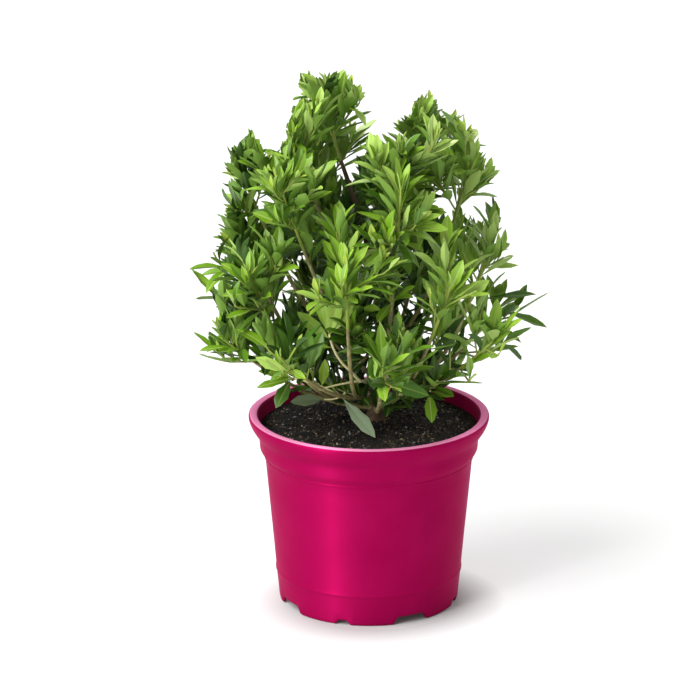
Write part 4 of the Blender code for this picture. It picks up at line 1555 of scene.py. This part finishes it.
wood = dict(
    trunkParts=4,
    trunkSides=7,
    trunkSunk=2.5,            # how far its foot goes into the soil, in millimetres
    trunkCollar=1.12,
    boughParts=5,
    boughSides=3,
    boughSunk=2.2,
    boughCollar=1.25,         # a bough is thicker by this where it enters its parent
    lowParts=5,
    lowSides=2,
    stemParts=3,
    stemSunk=1.5,
    twigParts=2,
    twigSides=1,
    twigThin=0.92,
    smooth=70,
    knot=0.16,                # how far the nodes on young wood stand out, as a share of the radius
    knotStep=9 * mm,
    knotPower=4,
    relief=((0.0022, 0.55), (0.006, 0.7)),
    reliefMiddle=0.5,
    # Both colours of each bark and the scale of its streaks
    oldBark=(((0.125, 0.080, 0.042), (0.055, 0.036, 0.022)), 420.0),
    youngBark=(((0.350, 0.320, 0.130), (0.200, 0.165, 0.075)), 300.0),
    barkLook=(0.8, 0.3),      # roughness and gloss
    barkStretch=(1, 1, 0.3),
    barkStreaks=(6.0, 0.65),
    barkRange=(0.4, 0.62),
    barkRise=(0.7, 0.0006),
    # Colour, roughness and gloss of young wood
    greenTwig=((0.26, 0.33, 0.055), 0.55, 0.35),
    stemWood=((0.250, 0.225, 0.090), 0.65, 0.3),
    paleTwig=((0.82, 0.74, 0.40), 0.6, 0.3),
    woodyBelow=205 * mm,
)


def barkFinish(name):
    colours, scale = wood[name]
    made = plainFinish(name, colours[0], *wood["barkLook"])
    stretch = addNode(made, "ShaderNodeMapping", Scale=wood["barkStretch"])
    wire(made, placeIn(made), stretch.inputs["Vector"])
    streaks = noiseOn(made, stretch.outputs["Vector"], scale, *wood["barkStreaks"])
    bark = blendColours(made, remap(made, streaks, *wood["barkRange"]), *colours)
    wire(made, bark, shaderOf(made).inputs["Base Color"])
    bumpFrom(made, streaks, *wood["barkRise"])
    return made


def makeTrunk(trunk):
    foot = trunk.points[0] - up * wood["trunkSunk"] * mm
    radii = [trunk.radii[0] * wood["trunkCollar"], *trunk.radii]
    piece = tubePiece("trunk", [smoothLine([foot, *trunk.points], radii, wood["trunkParts"])], wood["trunkSides"])
    addRelief(piece, "grain", wood["relief"], wood["reliefMiddle"])
    smoothTo(piece, wood["smooth"])
    finishPiece(piece, "trunkBark", [barkFinish("oldBark")], ["trunk"])


def makeBoughs(boughs):
    lines = []
    for bough in boughs.values():
        inward = bough.points[0] - bough.facings[0] * wood["boughSunk"] * mm
        radii = [bough.radii[0] * wood["boughCollar"], *bough.radii]
        line, sizes = smoothLine([inward, *bough.points], radii, wood["boughParts"])
        lines.append((line, knotted(line, sizes)))
    piece = tubePiece("boughs", lines, wood["boughSides"])
    smoothTo(piece, wood["smooth"])
    finishPiece(piece, "boughBark", [barkFinish("youngBark")], list(boughs))
    print("wood done")


def knotted(line, sizes):
    # Young wood swells a little where old leaves stood
    run, made = 0.0, []
    for i, (point, size) in enumerate(zip(line, sizes)):
        run += (point - line[i - 1]).length if i else 0.0
        swell = max(0.0, math.cos(math.tau * run / wood["knotStep"])) ** wood["knotPower"]
        made.append(size * (1 + wood["knot"] * swell))
    return made


def makeLowShoots(lowLimbs):
    lines = [smoothLine(limb.points, limb.radii, wood["lowParts"]) for limb in lowLimbs]
    piece = tubePiece("lowShoots", [(line, knotted(line, sizes)) for line, sizes in lines], wood["lowSides"])
    smoothTo(piece, wood["smooth"])
    pale = plainFinish("paleTwig", *wood["paleTwig"])
    finishPiece(piece, "lowShoots", [pale], ["foliage_inner_1"])


def leafFinishes():
    # All finishes of the leaves, and for each tint the places of its upper side, rib and under side among them
    look = leafColours["look"]
    names = ("young", "pale", "grey")
    tops = [plainFinish(f"leafGreen{i}", colour, *look) for i, colour in enumerate(leafColours["tops"])]
    underLook, ribLook = leafColours["underLook"], leafColours["ribLook"]
    unders = [plainFinish(f"leafUnder{i}", colour, *underLook) for i, colour in enumerate(leafColours["unders"])]
    ribs = [plainFinish(f"leafRib{i}", colour, *ribLook) for i, colour in enumerate(leafColours["ribs"])]
    own = [plainFinish("leaf" + name.capitalize(), leafColours[name], *look) for name in names]
    ribStart, ownStart = len(tops) + len(unders), len(tops) + len(unders) + len(ribs)
    places = {
        tint: (tint, ribStart + leafColours["ribOf"][tint], len(tops) + leafColours["underOf"][tint])
        for tint in range(len(tops))
    }
    _, ownRib, ownUnder = places[leafColours["ownShade"]]
    for i, name in enumerate(names):
        places[name] = (ownStart + i, ownRib if name == "young" else ownStart + i, ownUnder)
    return tops + unders + ribs + own, places


def makeFoliage(masses):
    faces, parts = leafTemplate()
    finishes, places = leafFinishes()
    twigFinishes = [plainFinish(name, *wood[name]) for name in ("greenTwig", "stemWood")]
    for tier in ("low", "middle", "high", "top", "leader", "inner"):
        names = [name for name in masses if name.startswith(tier)]
        nodes = [f"foliage_{name}" for name in names]
        leaves = [leaf for name in names for leaf in masses[name]["leaves"]]
        tints = np.array([places[leaf.tint] for leaf in leaves])[:, parts]
        piece = meshFromArrays("leaves", leafPoints(leaves), faces, tints)
        smoothTo(piece, leafShape["smooth"])
        finishPiece(piece, f"leaves{tier.capitalize()}", finishes, nodes)
        lines = []
        for name in names:
            stem, twigs = masses[name]["stem"], masses[name]["twigs"]
            inward = stem.points[0] - stem.direction * wood["stemSunk"] * mm
            lines.append(smoothLine([inward, *stem.points], [stem.radii[0], *stem.radii], wood["stemParts"]))
            for twig in twigs:
                radii = [radius * wood["twigThin"] for radius in twig.radii]
                lines.append(smoothLine(twig.points, radii, wood["twigParts"]))
        piece = tubePiece("twigs", lines, wood["twigSides"])
        for face in piece.data.polygons:
            face.material_index = 1 if face.center.z < wood["woodyBelow"] else 0
        smoothTo(piece, wood["smooth"])
        finishPiece(piece, f"twigs{tier.capitalize()}", twigFinishes, nodes)


setStudio()
makePot()
ground = makeSoil()
makeCrumbs(ground)
limbs, masses, lowLimbs = growShrub()
makeTrunk(limbs.pop("trunk"))
makeBoughs(limbs)
makeLowShoots(lowLimbs)
makeFoliage(masses)
